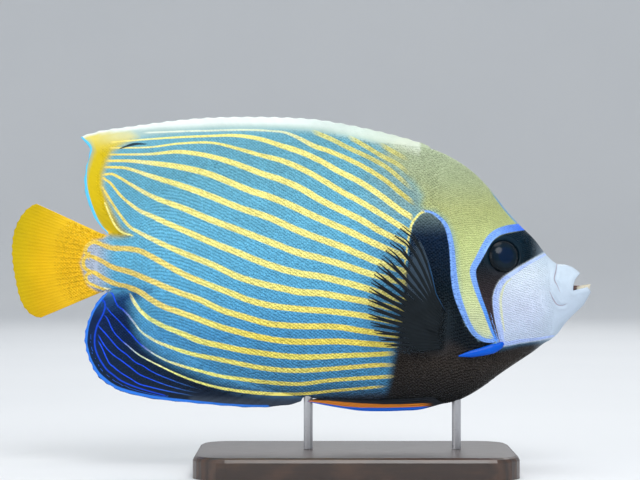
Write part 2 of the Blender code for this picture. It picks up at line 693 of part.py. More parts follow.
def lower_jaw(look):
    tip = (LOWER_TIP_X, belly(LOWER_TIP_X))
    grid = patch(
        lower_seam,
        path([tip, LOWER_LIP_FRONT, LOWER_LIP[-1]]),
        on_outline(belly, CHIN_X, LOWER_TIP_X),
        joined(path([JAW_HINGE, *LIP_SEAM]), path(LOWER_LIP), LOWER_CORNER_COLUMN / LOWER_COLUMNS),
        even(LOWER_COLUMNS),
        crowded_low(8),
    )
    rim = lip_rim(grid.shape[1::-1], LOWER_CORNER_COLUMN).T
    made = body_sheet("lower_jaw", drawn_in(grid, GAP / 2, 0, 0, GAP / 2), look, rim)
    boolean(made, "DIFFERENCE", [mouth_hollow(look)])
    boolean(node("lower_jaw"), "UNION", [tooth(k - TEETH // 2, look) for k in range(TEETH)])


def tooth(k, look):
    """One bristle of the comb that stands on the rim of the lower lip, longest in front."""
    ahead, out = math.cos(TEETH_TURN * k), math.sin(TEETH_TURN * k)
    foot = np.array((TEETH_MIDDLE[0] + TEETH_REACH[0] * ahead, TEETH_REACH[1] * out, TEETH_MIDDLE[1]))
    lean = np.array((TEETH_LEAN[0] * ahead, TEETH_LEAN[1] * out, TEETH_RISE[0] + TEETH_RISE[1] * ahead**2))
    return tapered_rod("tooth", np.array([foot, foot + lean]), TEETH_RADII, look, 5, 1.0, AHEAD)


def two_margins(rear, long, corner, last):
    """Ends of a fin's lines along its rear margin, up to the corner, and then along the long one."""
    return np.concatenate([path(rear)(even(corner)), path(long)(even(last - corner)[1:])])


def root_gap(last):
    """Distance from the body for each line of a fin, from the rear to the front."""
    return np.linspace(REAR_GAP, GAP, last + 1)[:, None]


def back_fin(look):
    """The fin along the back: strong spines in front, soft rays behind, with a point above the tail."""
    corner, rays = 2 * BACK_CORNER_RAY, 2 * (SPINES + BACK_RAYS)
    front, rear = BACK_FIN_FOOT
    start = on_outline(back, rear, front)(crowded_rear(even(rays), BACK_FIN_BEND))
    margin = two_margins(BACK_FIN_REAR, BACK_FIN_TOP, corner, rays)
    stations = even(5)
    grid = drawn_in(scalloped(fan(start, margin, stations), BACK_FIN_NOTCH), low=root_gap(rays))
    half = ray_half(rays + 1, stations, back_ridge(start[:, 0]), BACK_FIN_WEB, BACK_FIN_RIDGE)
    sheet("dorsal_fin", on_plane(grid), half, look)


def anal_fin(look):
    corner, rays = 2 * ANAL_CORNER_RAY, 2 * ANAL_RAYS
    front, rear = ANAL_FIN_FOOT
    start = on_outline(belly, rear, front)(crowded_rear(even(rays), ANAL_FIN_BEND))
    margin = two_margins(ANAL_FIN_REAR, ANAL_FIN_LOW, corner, rays)
    stations = even(5)
    grid = drawn_in(scalloped(fan(start, margin, stations), ANAL_FIN_NOTCH), low=root_gap(rays))
    half = ray_half(rays + 1, stations, belly_ridge(start[:, 0]), ANAL_FIN_WEB, ANAL_FIN_RIDGE)
    sheet("anal_fin", on_plane(grid), half, look)


def tail_fin(look):
    share, stations = even(2 * TAIL_RAYS), even(5)
    grid = fan(path(TAIL_ROOT)(share), path(TAIL_MARGIN)(share), stations)
    grid = drawn_in(scalloped(grid, TAIL_FIN_NOTCH), 0, 0, GAP / 2, 0)
    root = flank(grid[:, 0, 0], grid[:, 0, 1])
    half = ray_half(len(share), stations, root, TAIL_FIN_WEB, TAIL_FIN_RIDGE)
    sheet("tail_fin", on_plane(grid), half, look)


def grid_normals(grid):
    along, over = np.gradient(grid, axis=0), np.gradient(grid, axis=1)
    normal = np.cross(along, over)
    return normal / np.linalg.norm(normal, axis=-1, keepdims=True)


def pectoral_fin(name, side, look):
    """The fan of the breast fin, leaning out from the flank as it goes back."""
    share, stations = even(2 * PECTORAL_RAYS), even(5)
    flat = fan(path(PECTORAL_BASE)(share), path(PECTORAL_TIPS)(share), stations)
    flat = scalloped(flat, PECTORAL_NOTCH)
    away = np.linalg.norm(flat - flat[:, :1], axis=-1)
    root = flank(flat[:, :1, 0], flat[:, :1, 1]) - PECTORAL_SINK
    stand_off, over = PECTORAL_STEP
    y = root + away * math.tan(PECTORAL_FLARE) + stand_off * np.minimum(1, away / over)
    grid = on_plane(flat, side * y)
    web, ridge = PECTORAL_WEB, PECTORAL_RIDGE
    half = ray_half(len(share), stations, PECTORAL_ROOT_HALF, web, ridge, PECTORAL_TAPER)
    sheet(name, grid, half, look, grid_normals(grid))
    boolean(node(name), "DIFFERENCE", [grown_flank("clear", trunk_grid(), GAP)])


def pelvic_fin(name, side, look):
    """The belly fin, folded back along the breast. Its spine and longest ray form the lower edge."""
    share, stations = even(2 * PELVIC_RAYS), even(9)
    low = path(PELVIC_LOW_EDGE)(stations)
    high = path([PELVIC_BASE[0], PELVIC_TOP, PELVIC_TIPS[0]])(stations)
    mix = share[:, None, None]
    grid = high[None] * (1 - mix) + low[None] * mix
    shift = path(PELVIC_TIPS)(share) - grid[:, -1]
    grid = (grid + shift[:, None] * stations[None, :, None] ** 2)[::-1]
    out = PELVIC_OUT - PELVIC_IN * stations[None, :] + PELVIC_LEAN * (grid[..., 1] - PELVIC_LOWEST)
    half = ray_half(len(share), stations, PELVIC_ROOT_HALF, PELVIC_WEB, PELVIC_RIDGE, PELVIC_TAPER)
    sheet(name, on_plane(grid, side * out), half, look)
    boolean(node(name), "DIFFERENCE", [grown_flank("clear", trunk_grid(), GAP)])


def cheek_spine(name, side, look):
    """The strong spine at the lower corner of the cheek, lying back over the gill opening."""
    at = even(8)
    flat = path(CHEEK_SPINE)(at)
    y = flank(flat[:, 0], flat[:, 1]) + np.linspace(*CHEEK_SPINE_OUT, len(flat))
    radii = np.interp(at, even(4), CHEEK_SPINE_RADII)
    tapered_rod(name, on_plane(flat, side * y), radii, look, 10, CHEEK_SPINE_FLAT)
    cutters = [grown_flank("clear", grid, GAP) for grid in (trunk_grid(), head_grid())]
    boolean(node(name), "DIFFERENCE", [*cutters, gill_cover("clear", side, look, GAP)])


def stand_base(look):
    """A flat plate with round corners and a bevelled top edge."""
    outline = []
    for quarter in range(4):
        centre_x = STAND_X + (STAND_LENGTH / 2 - STAND_CORNER) * (1 if quarter in (0, 3) else -1)
        centre_y = (STAND_BREADTH / 2 - STAND_CORNER) * (1 if quarter < 2 else -1)
        for step in range(7):
            angle = math.radians(90 * quarter + 15 * step)
            outline.append((centre_x, centre_y, math.cos(angle), math.sin(angle)))
    levels = (
        (0.0, 0.0), (0.0, STAND_HEIGHT - STAND_BEVEL),
        (STAND_BEVEL_STEP, STAND_HEIGHT - STAND_BEVEL_STEP), (STAND_BEVEL, STAND_HEIGHT),
    )
    count = len(outline)
    points = [
        (cx + (STAND_CORNER - inset) * cos, cy + (STAND_CORNER - inset) * sin, z)
        for inset, z in levels
        for cx, cy, cos, sin in outline
    ]
    faces = []
    for level in range(len(levels) - 1):
        for j in range(count):
            k = (j + 1) % count
            low, high = level * count, (level + 1) * count
            faces += [(low + j, low + k, high + k), (low + j, high + k, high + j)]
    top = (len(levels) - 1) * count
    faces += [(0, j + 1, j) for j in range(1, count - 1)]
    faces += [(top, top + j, top + j + 1) for j in range(1, count - 1)]
    mesh_object("stand_base", points, faces, look)


def height_under(x, y):
    """Height of the belly's skin above this point of the floor."""
    low, high = float(belly(x)), float(widest(x))
    for _ in range(40):
        middle = (low + high) / 2
        if float(flank(x, middle)) < abs(y):
            low = middle
        else:
            high = middle
    return low


def stand_rod(name, x, look, sides=16):
    """A rod from the plate up to the belly, its head shaped to the belly."""
    turns = [2 * math.pi * k / sides for k in range(sides)]
    rim = [(x + ROD_RADIUS * math.cos(a), ROD_RADIUS * math.sin(a)) for a in turns]
    points = [(px, py, STAND_HEIGHT + GAP) for px, py in rim]
    points += [(px, py, height_under(px, py) - GAP) for px, py in rim]
    points += [(x, 0, STAND_HEIGHT + GAP), (x, 0, height_under(x, 0) - GAP)]
    faces = []
    for j in range(sides):
        k = (j + 1) % sides
        faces += [(j, k, sides + k), (j, sides + k, sides + j)]
        faces += [(2 * sides, k, j), (2 * sides + 1, sides + j, sides + k)]
    mesh_object(name, points, faces, look)


def main():
    clear_scene()
    blue, yellow = material("skin blue", SKIN_BLUE), material("skin yellow", SKIN_YELLOW)
    dark, white = material("skin dark", SKIN_DARK), material("skin white", SKIN_WHITE)
    olive, spine = material("skin olive", SKIN_OLIVE), material("spine blue", SPINE_BLUE)
    lens = material("eye dark", EYE_DARK)
    black, steel = material("stand black", STAND_BLACK), material("stand steel", STAND_STEEL, 1.0)
    trunk(blue)
    tail_stalk(blue)
    head(olive)
    upper_jaw(white)
    lower_jaw(white)
    back_fin(blue)
    anal_fin(dark)
    tail_fin(yellow)
    eye("eye_right", -1, lens)
    gill_cover("gill_cover_right", -1, olive)
    cheek_spine("cheek_spine_right", -1, spine)
    pectoral_fin("pectoral_fin_right", -1, dark)
    pelvic_fin("pelvic_fin_right", -1, dark)
    for pair, look in (
        ("eye", lens), ("gill_cover", olive), ("cheek_spine", spine), ("pectoral_fin", dark),
        ("pelvic_fin", dark),
    ):
        mirrored(pair + "_right", pair + "_left", look)
    stand_base(black)
    stand_rod("stand_rod_front", ROD_FRONT_X, steel)
    stand_rod("stand_rod_rear", ROD_REAR_X, steel)


main()
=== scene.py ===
"""Emperor angelfish, life size: the looks of the still model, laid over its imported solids.

One skin covers the flesh and the middle fins, and small scales lie over it. Sizes are in millimetres
and become metres when a mesh is made. Skin and scales take their markings from the same functions.
"""

import math

import bpy
import numpy as np
from mathutils import Matrix, Vector
from mathutils.bvhtree import BVHTree


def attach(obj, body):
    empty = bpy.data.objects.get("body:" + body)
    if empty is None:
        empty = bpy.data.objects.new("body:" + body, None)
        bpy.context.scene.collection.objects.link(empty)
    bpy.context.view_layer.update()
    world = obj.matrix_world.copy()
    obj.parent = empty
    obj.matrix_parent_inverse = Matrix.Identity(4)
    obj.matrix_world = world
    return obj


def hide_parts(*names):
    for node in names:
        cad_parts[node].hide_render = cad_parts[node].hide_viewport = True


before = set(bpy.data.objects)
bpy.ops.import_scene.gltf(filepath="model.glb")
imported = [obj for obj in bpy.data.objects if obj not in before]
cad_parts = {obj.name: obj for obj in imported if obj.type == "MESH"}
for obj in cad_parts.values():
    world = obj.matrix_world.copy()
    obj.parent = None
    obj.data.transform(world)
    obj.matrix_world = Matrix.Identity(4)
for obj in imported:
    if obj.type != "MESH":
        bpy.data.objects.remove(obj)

bl_info = {
    "name": "Emperor angelfish model",
    "version": (1, 0, 0),
    "blender": (4, 5, 0),
    "location": "3D View > Sidebar > Angelfish",
    "description": "Skin, scales, eyes, fins, stand and stage of a life-size emperor angelfish",
    "category": "Object",
}

MM = 0.001
THIN = 0.25  # least half thickness of a rounded edge
ACROSS = np.array((0.0, 1.0, 0.0))
FLESH = (
    "trunk", "tail_stalk", "head", "gill_cover_left", "gill_cover_right", "upper_jaw", "lower_jaw",
    "dorsal_fin", "anal_fin", "tail_fin",
)

# Side view of the body, as in the part's source: (x, height)
BACK = (
    (-113, 131.6), (-102, 129.6), (-94, 130.2), (-83.5, 147.5), (-72.5, 157), (-56, 166),
    (-34, 173), (-11.5, 178), (10.5, 180.7), (32.5, 181.5), (55, 180.2), (76, 176.6),
    (86, 171.8), (96, 164.6), (104.5, 155.8), (113, 144.8), (121, 136), (129.5, 127.6),
    (135.5, 119.8), (141.5, 114.6), (146.5, 114), (151, 112.2), (154.5, 109.4), (160, 103.6),
)
BELLY = (
    (-113, 98.6), (-102, 99.9), (-94, 99), (-86.5, 86.5), (-78, 76), (-67, 66),
    (-50.5, 56), (-34, 49.2), (-17, 44.4), (0, 41), (16, 39.6), (33, 38.6), (55, 37.2),
    (66, 36.6), (77, 37), (88, 39.6), (99, 45.6), (110, 53.7), (118.5, 59.5), (128, 65.8),
    (135, 71), (138.5, 73), (141.5, 75.6), (147, 82.7), (152.5, 88.2), (156.5, 92.2), (160, 98.4),
)
# Greatest half breadth of the body, and the height at which it lies
BREADTH = (
    (-113, 1.9), (-109, 2.7), (-102, 4.3), (-94, 6), (-80, 8.6), (-60, 12), (-30, 16),
    (0, 19), (30, 21.4), (60, 23), (80, 23.4), (95, 22.2), (110, 19.2), (122, 15.6),
    (132, 12), (140, 9.4), (146, 7.9), (152, 6.2), (157, 4.4), (160, 2.6),
)
WIDEST = (
    (-113, 115.4), (-94, 114.6), (-60, 110), (0, 104), (60, 100), (95, 101),
    (120, 100), (140, 99), (160, 101),
)
# How round the section is at the back and the belly: 0.5 is an ellipse, 1 a lens
BACK_ROUNDING = ((-113, 0.5), (-80, 0.75), (40, 0.8), (90, 0.7), (125, 0.56), (160, 0.5))
BELLY_ROUNDING = ((-113, 0.5), (-80, 0.75), (-20, 0.75), (30, 0.55), (110, 0.6), (160, 0.5))
# Half thickness of the flesh that carries the back fin and the anal fin
BACK_RIDGE = (
    (-113, THIN), (-94, 0.8), (-70, 1.8), (-20, 2.4), (50, 2.2), (74, 1), (84, THIN),
)
BELLY_RIDGE = ((-113, THIN), (-94, 0.8), (-70, 1.8), (-25, 1.9), (-4, 0.9), (6, THIN))

PEDUNCLE_X, NAPE_X, THROAT_X, SNOUT_TOP_X, CHIN_X = -94, 81.5, 127, 141.5, 147.0
GILL_LINE = (
    (118.5, 66.3), (108.5, 68.8), (99.5, 71.6), (93.5, 77.5), (89.7, 85.8), (85.3, 96.3), (83, 108.5),
    (82.5, 122.3), (80.8, 132.3), (77.5, 139.5), (74.5, 145.5), (74.6, 151.5), (77.2, 161),
)
JAW_HINGE = (144, 91.6)
LOWER_SEAM = ((145.3, 86.6), JAW_HINGE)
UPPER_SEAM = (JAW_HINGE, (141.4, 95.6), (140.1, 101.3), (140.2, 108))
JAW_SPLIT = 8 / 22  # share of the jaw seam that is the lower jaw's
UPPER_FOOT = (147.6, 93.2)
MOUTH_CORNER = (149.7, 99.8)
LIP_SEAM = (UPPER_FOOT, (149.2, 96.2), MOUTH_CORNER)
UPPER_LIP = (MOUTH_CORNER, (150, 103.4), (151.5, 106.8))
LOWER_LIP = (MOUTH_CORNER, (153.2, 100.5), (156.4, 101), (158.4, 101.5))
UPPER_TIP_X, LOWER_TIP_X = 154.2, 158.8
LOWER_TIP_FRONT = (160, 99)
MOUTH_MIDDLE = (156, 103.5)
LINING_AT, LINING_HALF = (152.6, 0, 100.6), (4.4, 2.7, 2.3)
TEETH_ROWS = (29, 27, 25)  # teeth in each row, from the outermost inwards
TEETH_MIDDLE, TEETH_HALF, TEETH_SPREAD = (151.4, 99.7), (7.3, 3.9), math.radians(80)
BACK_FIN_REAR = (
    (-107.5, 131.9), (-113, 138.2), (-117, 146.3), (-119.7, 155.5), (-119.7, 164), (-118, 172.2),
    (-116.8, 178), (-119.4, 182), (-122.3, 185),
)
BACK_FIN_TOP = (
    (-122.3, 185), (-111, 188.2), (-94.5, 190.6), (-78, 192.9), (-61.5, 194.7), (-45, 195.7),
    (-20, 195.9), (5, 194.8), (21.5, 192.4), (38, 189.1), (55, 184.9), (64, 182.2), (69.5, 180.4),
)
ANAL_FIN_REAR = (
    (-107.8, 98.6), (-112, 94.6), (-115.8, 88), (-119, 79), (-119.7, 71.4), (-117, 60.8),
    (-111.3, 51.2), (-100.5, 44.2),
)
ANAL_FIN_LOW = (
    (-100.5, 44.2), (-83.5, 40.2), (-61.5, 37.8), (-39.5, 35.9), (-28, 35.2), (-17, 35.5), (-6, 36.8),
    (-0.5, 38.2),
)
BACK_FIN_FOOT = (72, -105.5)  # x of the front and the rear of each root
ANAL_FIN_FOOT = (1, -105)
TAIL_ROOT = ((-109, 99.9), (-112.3, 106.5), (-113.4, 115.7), (-112.3, 124.5), (-109, 130.6))
TAIL_MARGIN = (
    (-144.5, 84.8), (-149, 86.3), (-153.3, 90.7), (-156.2, 97.4), (-158.4, 107.4), (-159.7, 115.7),
    (-160, 124), (-158.9, 132.3), (-155.6, 140), (-151.2, 145.3), (-146.8, 147.9),
)
SPINES, BACK_RAYS, ANAL_RAYS, TAIL_RAYS, PECTORAL_RAYS, PELVIC_RAYS = 14, 20, 20, 17, 18, 6
PHOTO_FIELD = 354.3  # width that the photo takes in at the fish
PHOTO_AIM = (10.5, 127.8)  # middle of the photo in the side view
PHOTO_AWAY = 1200.0  # from the photo's camera to the middle of the fish

EYE_AT = (110.9, 119)
EYE_HALF = (9.2, 9.2, 5)  # along the head, up it, and out of it
EYE_SUNK = 1.7
NOSTRILS = ((122.4, 127.4, 1.5), (128.2, 121.8, 1.3))  # x, height and length of each tube
NOSTRIL_TUBE = (  # from the foot up the outside and down the bore: (radius, height)
    (0, -1.2), (1.5, -1.2), (1.35, 0.1), (0.95, 0.75), (0.75, 1), (0.55, 0.9), (0.5, 0.2), (0, 0),
)
FIN_BASE = (71.4, 84.7)  # middle of the fleshy base over the breast fin's root
PECTORAL_BASE = ((79, 68.5), (80.2, 76.5), (79.8, 85.5))
PECTORAL_TIPS = (
    (56, 65.8), (46, 70.6), (39.9, 78), (36.4, 87), (36, 96), (37.6, 105.7), (42.1, 115.7),
    (47.6, 126.2), (55, 137),
)
PECTORAL_FOOT = ((79, 89), (80, 85), (80, 76.5), (78.6, 68), (70, 67))
PECTORAL_FLARE = math.radians(17)
PECTORAL_SINK = 2.2
# How far the front ray bows forward: (share of its length, distance)
PECTORAL_BEND = ((0.27, 0), (0.44, 2.3), (0.59, 3.8), (0.745, 4.6), (0.9, 3.9), (1, 0))
PELVIC_BASE = ((72, 41.5), (78.5, 38))
PELVIC_TIPS = ((39, 39.8), (30, 39.9), (21, 40), (12, 39.9), (3.5, 38.8))
PELVIC_LOW_EDGE = (
    (78.5, 38), (66, 34.6), (57, 33.9), (45, 33.5), (33, 33.7), (24, 34.9), (14.8, 36.4),
    (3.5, 38.6),
)
# Upper limits of the belly fin's blue edge and of the orange band above it
PELVIC_BLUE_TOP = (
    (3.5, 38.9), (15.4, 37.3), (24.4, 36), (33.4, 35.4), (45.4, 35.4), (57.4, 35.7), (72, 36.4),
)
PELVIC_ORANGE_TOP = (
    (3.5, 39.4), (15.4, 39.2), (24.4, 38.4), (33.4, 37.7), (45.4, 37.3), (54.4, 37.3), (72, 38.2),
)
PELVIC_OUT = 6.6
CHEEK_SPINE = ((110.8, 71.4), (107, 69.2), (101, 67.4), (94.5, 66), (86, 64.6))
CHEEK_SPINE_RADII = (1.5, 2.7, 2.3, 1.8, 0.35)

# How finely the skin is cut, in steps: rows below and above the jaws' hinge, rows of the upper jaw that end at
# the corner of the mouth, columns of each patch, and steps along the lower lip
LOW_ROWS, HIGH_ROWS, SEAM_ROWS = 32, 56, 12
TRUNK_COLUMNS, HEAD_COLUMNS, STALK_COLUMNS, JAW_COLUMNS, LIP_STEPS = 130, 92, 22, 20, 24
CROWDING = 1.6  # how strongly rows gather towards the back and the belly
# Each middle fin: steps out and along, notches between its rays, half thickness of its edge, height of its rays
BACK_FIN_MESH = (25, 204, 0.6, 0.36, 0.2)
ANAL_FIN_MESH = (55, 200, 0.5, 0.33, 0.32)
TAIL_FIN_MESH = (42, 170, 0.4, 0.3, 0.3)
FIN_GAP = 0.02  # share of a ray's length between the flesh and the fin's first points


# Curves


def height_curve(points):
    """A smooth function of x through the points."""
    x, y = np.array(points, float).T
    steps = np.diff(x)
    rise = np.diff(y) / steps
    inner = (rise[:-1] * steps[1:] + rise[1:] * steps[:-1]) / (steps[:-1] + steps[1:])
    slope = np.concatenate([rise[:1], inner, rise[-1:]])

    def curve(at):
        at = np.clip(at, x[0], x[-1])
        k = np.clip(np.searchsorted(x, at, side="right") - 1, 0, len(steps) - 1)
        t = (at - x[k]) / steps[k]
        start = y[k] * (1 + 2 * t) * (1 - t) ** 2 + slope[k] * steps[k] * t * (1 - t) ** 2
        end = y[k + 1] * t * t * (3 - 2 * t) + slope[k + 1] * steps[k] * t * t * (t - 1)
        return start + end

    return curve


def path(points, per_span=10):
    """A smooth path through the points, as a function of the share of its length."""
    p = np.array(points, float)
    p = np.concatenate([[2 * p[0] - p[1]], p, [2 * p[-1] - p[-2]]])
    t = np.arange(per_span)[:, None] / per_span
    dense = [
        0.5 * (2 * b + (c - a) * t + (2 * a - 5 * b + 4 * c - d) * t**2 + (3 * b - a - 3 * c + d) * t**3)
        for a, b, c, d in zip(p, p[1:], p[2:], p[3:])
    ]
    dense = np.concatenate([*dense, [p[-2]]])
    share = shares_along(dense)
    return lambda s: np.stack([np.interp(s, share, column) for column in dense.T], axis=-1)


def shares_along(points):
    """The share of a row's length at each of its points."""
    run = np.concatenate([[0], np.cumsum(np.linalg.norm(np.diff(points, axis=0), axis=1))])
    return run / run[-1]


def joined(first, second, split):
    """Two paths end to end, the first up to the share at which they split."""

    def both(s):
        before = first(np.clip(s / split, 0, 1))
        after = second(np.clip((s - split) / (1 - split), 0, 1))
        return np.where((s < split)[:, None], before, after)

    return both


back, belly, breadth, widest = (height_curve(c) for c in (BACK, BELLY, BREADTH, WIDEST))
back_rounding, belly_rounding = height_curve(BACK_ROUNDING), height_curve(BELLY_ROUNDING)
back_ridge, belly_ridge = height_curve(BACK_RIDGE), height_curve(BELLY_RIDGE)
gill_line = path([(THROAT_X, belly(THROAT_X)), *GILL_LINE, (NAPE_X, back(NAPE_X))])
lower_seam = path([(CHIN_X, belly(CHIN_X)), *LOWER_SEAM])
upper_seam = path([*UPPER_SEAM, (SNOUT_TOP_X, back(SNOUT_TOP_X))])
jaw_seam = joined(lower_seam, upper_seam, JAW_SPLIT)


def flank(x, z):
    """Half breadth of the body at a point of its side view."""
    up = z > widest(x)
    reach = np.where(up, back(x) - widest(x), widest(x) - belly(x))
    t = np.abs(z - widest(x)) / reach
    rounding = np.where(up, back_rounding(x), belly_rounding(x))
    flesh = breadth(x) * np.clip(1 - t * t, 0, 1) ** rounding
    ridge = np.where(up, back_ridge(x), belly_ridge(x))
    return np.cbrt(flesh**3 + ridge**3)


def flank_normal(x, z):
    step = 0.5
    slope_x = (flank(x + step, z) - flank(x - step, z)) / (2 * step)
    slope_z = (flank(x, z + step) - flank(x, z - step)) / (2 * step)
    return Vector((-float(slope_x), 1.0, -float(slope_z))).normalized()


def on_outline(outline, start, end):
    """The stretch of the back or the belly between two x."""
    x = np.linspace(start, end, 321)
    return path(np.stack([x, outline(x)], axis=-1), 1)


def even(count):
    return np.arange(count + 1) / count


def crowded_low(count):
    return even(count) ** CROWDING


def crowded_high(count):
    return 1 - (1 - even(count)) ** CROWDING


def patch(rear, front, low, high, columns, rows):
    """Grid of (x, z) between four edges. Rear and front run upwards, low and high run forwards."""
    u, v = columns[:, None, None], rows[None, :, None]
    left, right = rear(rows)[None], front(rows)[None]
    bottom, top = low(columns)[:, None], high(columns)[:, None]
    corners = (1 - u) * ((1 - v) * bottom[:1] + v * top[:1]) + u * ((1 - v) * bottom[-1:] + v * top[-1:])
    return (1 - u) * left + u * right + (1 - v) * bottom + v * top - corners


def ease(value, low, high):
    """0 below low, 1 above high, and a smooth rise between them."""
    t = np.clip((value - low) / (high - low), 0, 1)
    return t * t * (3 - 2 * t)


def hump(value, width):
    return np.exp(-((value / width) ** 2))


def steps_between(points, step=1.0):
    """The smooth path through the points as a row of points about one step apart."""
    p = np.array(points, float)
    length = np.linalg.norm(np.diff(p, axis=0), axis=1).sum()
    return path(points)(even(max(4, int(length / step))))


def nearest_on(line, x, z):
    """Distance to a row of points, signed positive on its left, and the share of its length there."""
    a, b = line[:-1], line[1:]
    along = b - a
    size = np.linalg.norm(along, axis=1)
    best = np.full(x.shape, 1e9)
    side = np.ones(x.shape)
    share = np.zeros(x.shape)
    for k in range(len(a)):
        px, pz = x - a[k, 0], z - a[k, 1]
        t = np.clip((px * along[k, 0] + pz * along[k, 1]) / size[k] ** 2, 0, 1)
        dx, dz = px - t * along[k, 0], pz - t * along[k, 1]
        distance = np.hypot(dx, dz)
        closer = distance < best
        best = np.where(closer, distance, best)
        side = np.where(closer, np.where(along[k, 0] * dz - along[k, 1] * dx >= 0, 1.0, -1.0), side)
        share = np.where(closer, (k + t) / len(a), share)
    return best * side, share


def inside_by(outline, x, z):
    """Distance inside a closed outline, negative outside it."""
    p = np.array(outline, float)
    within = np.zeros(x.shape, bool)
    for (ax, az), (bx, bz) in zip(p, np.roll(p, -1, axis=0)):
        if az != bz:
            crosses = (az > z) != (bz > z)
            within ^= crosses & (x < ax + (z - az) * (bx - ax) / (bz - az))
    distance, _ = nearest_on(np.concatenate([p, p[:1]]), x, z)
    return np.where(within, 1.0, -1.0) * np.abs(distance)


# Markings. All points are (x, height) in the side view.


def paint(red, green, blue):
    """A colour given as 0 to 255 on the screen, in the linear values that materials take."""
    c = np.array((red, green, blue)) / 255
    return tuple(np.where(c <= 0.04045, c / 12.92, ((c + 0.055) / 1.055) ** 2.4))


TAIL_EDGE = (
    (-104.6, 132.3), (-109.6, 128.9), (-115.1, 127.3), (-119, 124), (-120.7, 119), (-122.3, 115.1),
    (-120.1, 107.9), (-117.9, 102.4), (-112.4, 99), (-108, 98.4), (-120.5, 92.5), (-146, 70),
    (-166.6, 69.7), (-166.6, 155.5), (-133.4, 150), (-114, 136.1),
)
BACK_FIN_END = (
    (-126.8, 184.3), (-116.8, 182.1), (-115.1, 177.7), (-119, 165.5), (-120.1, 155.5), (-116.8, 144.4),
    (-109.1, 132.3), (-104.6, 129.5), (-99.1, 129.2), (-94.1, 130.3), (-99.6, 134.5), (-104.1, 142.8),
    (-107.4, 150.5), (-109.6, 157.7), (-109.6, 164.4), (-107.4, 170.5), (-104.6, 176.6), (-99.1, 180.4),
    (-90.2, 184.9), (-94.7, 188.2), (-108.5, 189.8), (-119.6, 188.2),
)
NAPE = (
    (68.1, 142.8), (64.8, 146.7), (65.9, 152.2), (61.4, 158.8), (52, 167.7), (44.8, 172.1),
    (50.4, 183.2), (65.9, 194.3), (126.8, 150), (129.5, 127.8), (110.2, 94.6), (108.5, 72.4),
    (100.5, 72.8), (91.3, 80.8), (86.9, 94.6), (85.3, 108.5), (84.7, 122.3), (83, 130.6),
    (79.2, 137.8), (73.6, 142.5),
)
SHOULDER = (
    (68.1, 143.3), (64.8, 140.6), (61.4, 135.6), (60.3, 130), (59.2, 115.7), (57, 100.2),
    (54.3, 83.5), (54.8, 69.7), (65.9, 60.3), (100, 64), (107, 71.4), (98.6, 72.2), (91.3, 80.8),
    (86.9, 94.6), (84.1, 110.1), (83.6, 122.3), (81.9, 131.7), (77.5, 139.2), (72.5, 142.8),
)
BREAST = (
    (54.3, 83.5), (52.6, 69.7), (50.4, 58.6), (48.2, 47.6), (45.9, 39.3), (45.9, 25.4), (93.6, 25.4),
    (143.4, 55.9), (151.7, 69.7), (139, 73), (121.2, 70.8), (110.2, 68), (93.6, 65.8), (77, 75.2),
)
BELLY_EDGE = (
    (-61.4, 40.9), (-39.3, 40.1), (-22.7, 39.3), (-6.1, 39.8), (10.5, 40.4), (27.1, 41.5), (43.7, 43.1),
    (54.8, 39.3), (54.8, 25.4), (-61.4, 25.4),
)
ANAL_DARK = (
    (-83.6, 100.2), (-90.2, 96.3), (-94.1, 93), (-93, 84.7), (-90.2, 75.8), (-85.8, 69.2),
    (-78.1, 63.6), (-69.2, 58.1), (-55.9, 52), (-42.6, 47), (-33.8, 43.7), (-21.6, 40.9),
    (-6.1, 38.2), (5, 34.8), (-0.6, 22.7), (-133.4, 22.7), (-133.4, 100.2), (-111.3, 99.6),
)
# Where the mask meets the cheek, from the snout down
CHEEK_EDGE = (
    (134.5, 121.2), (126.8, 116.8), (121.2, 113.4), (117.9, 111.5), (114.6, 109), (111.3, 106.8),
    (109.6, 105.1), (108, 102.4), (106.8, 99.6), (106, 95.7), (106.3, 90.7), (107.1, 85.8), (108.5, 78),
)
MASK = (
    (126.8, 135.6), (123.5, 133.1), (118.5, 131.7), (112.9, 130.7), (108.5, 128.9), (105.2, 126.2),
    (103, 122.3), (101.3, 118.4), (99.1, 115.4), (96.9, 112.3), (96.3, 110.1), (97.4, 106.2),
    (98.5, 101.8), (100.2, 96.3), (101.9, 91.9), (104.1, 86.3), (105.7, 80.8), (108.5, 74.1),
    (111.8, 69.2), (110.2, 73.6), *CHEEK_EDGE[::-1], (139, 124.5), (135.1, 130),
)
CHEEK = (
    (139, 124), *CHEEK_EDGE, (110.2, 72.5), (111.8, 68.6), (121.2, 70.5), (132.3, 71.9), (138.4, 73),
    (145, 69.7), (168.3, 78), (168.3, 119.5), (146.2, 125.1),
)
# Painted shade round the breast fin's root, darker than the breast and the flank beside it
FIN_FOOT = (
    (79, 96), (84, 88), (83, 74), (76, 66.5), (62, 65), (56, 72), (60, 84),
    (70, 96),
)
FOLD_1 = ((141.7, 115.7), (141.2, 111.2), (140.2, 106.2), (141.7, 102.9), (143.1, 99.6))
FOLD_2 = ((137.8, 99), (139.5, 95.2), (141.7, 92.1), (144.5, 91.6), (146.7, 92.4))
FOLD_3 = ((131.8, 100.2), (132, 93.5), (134.5, 90.2))

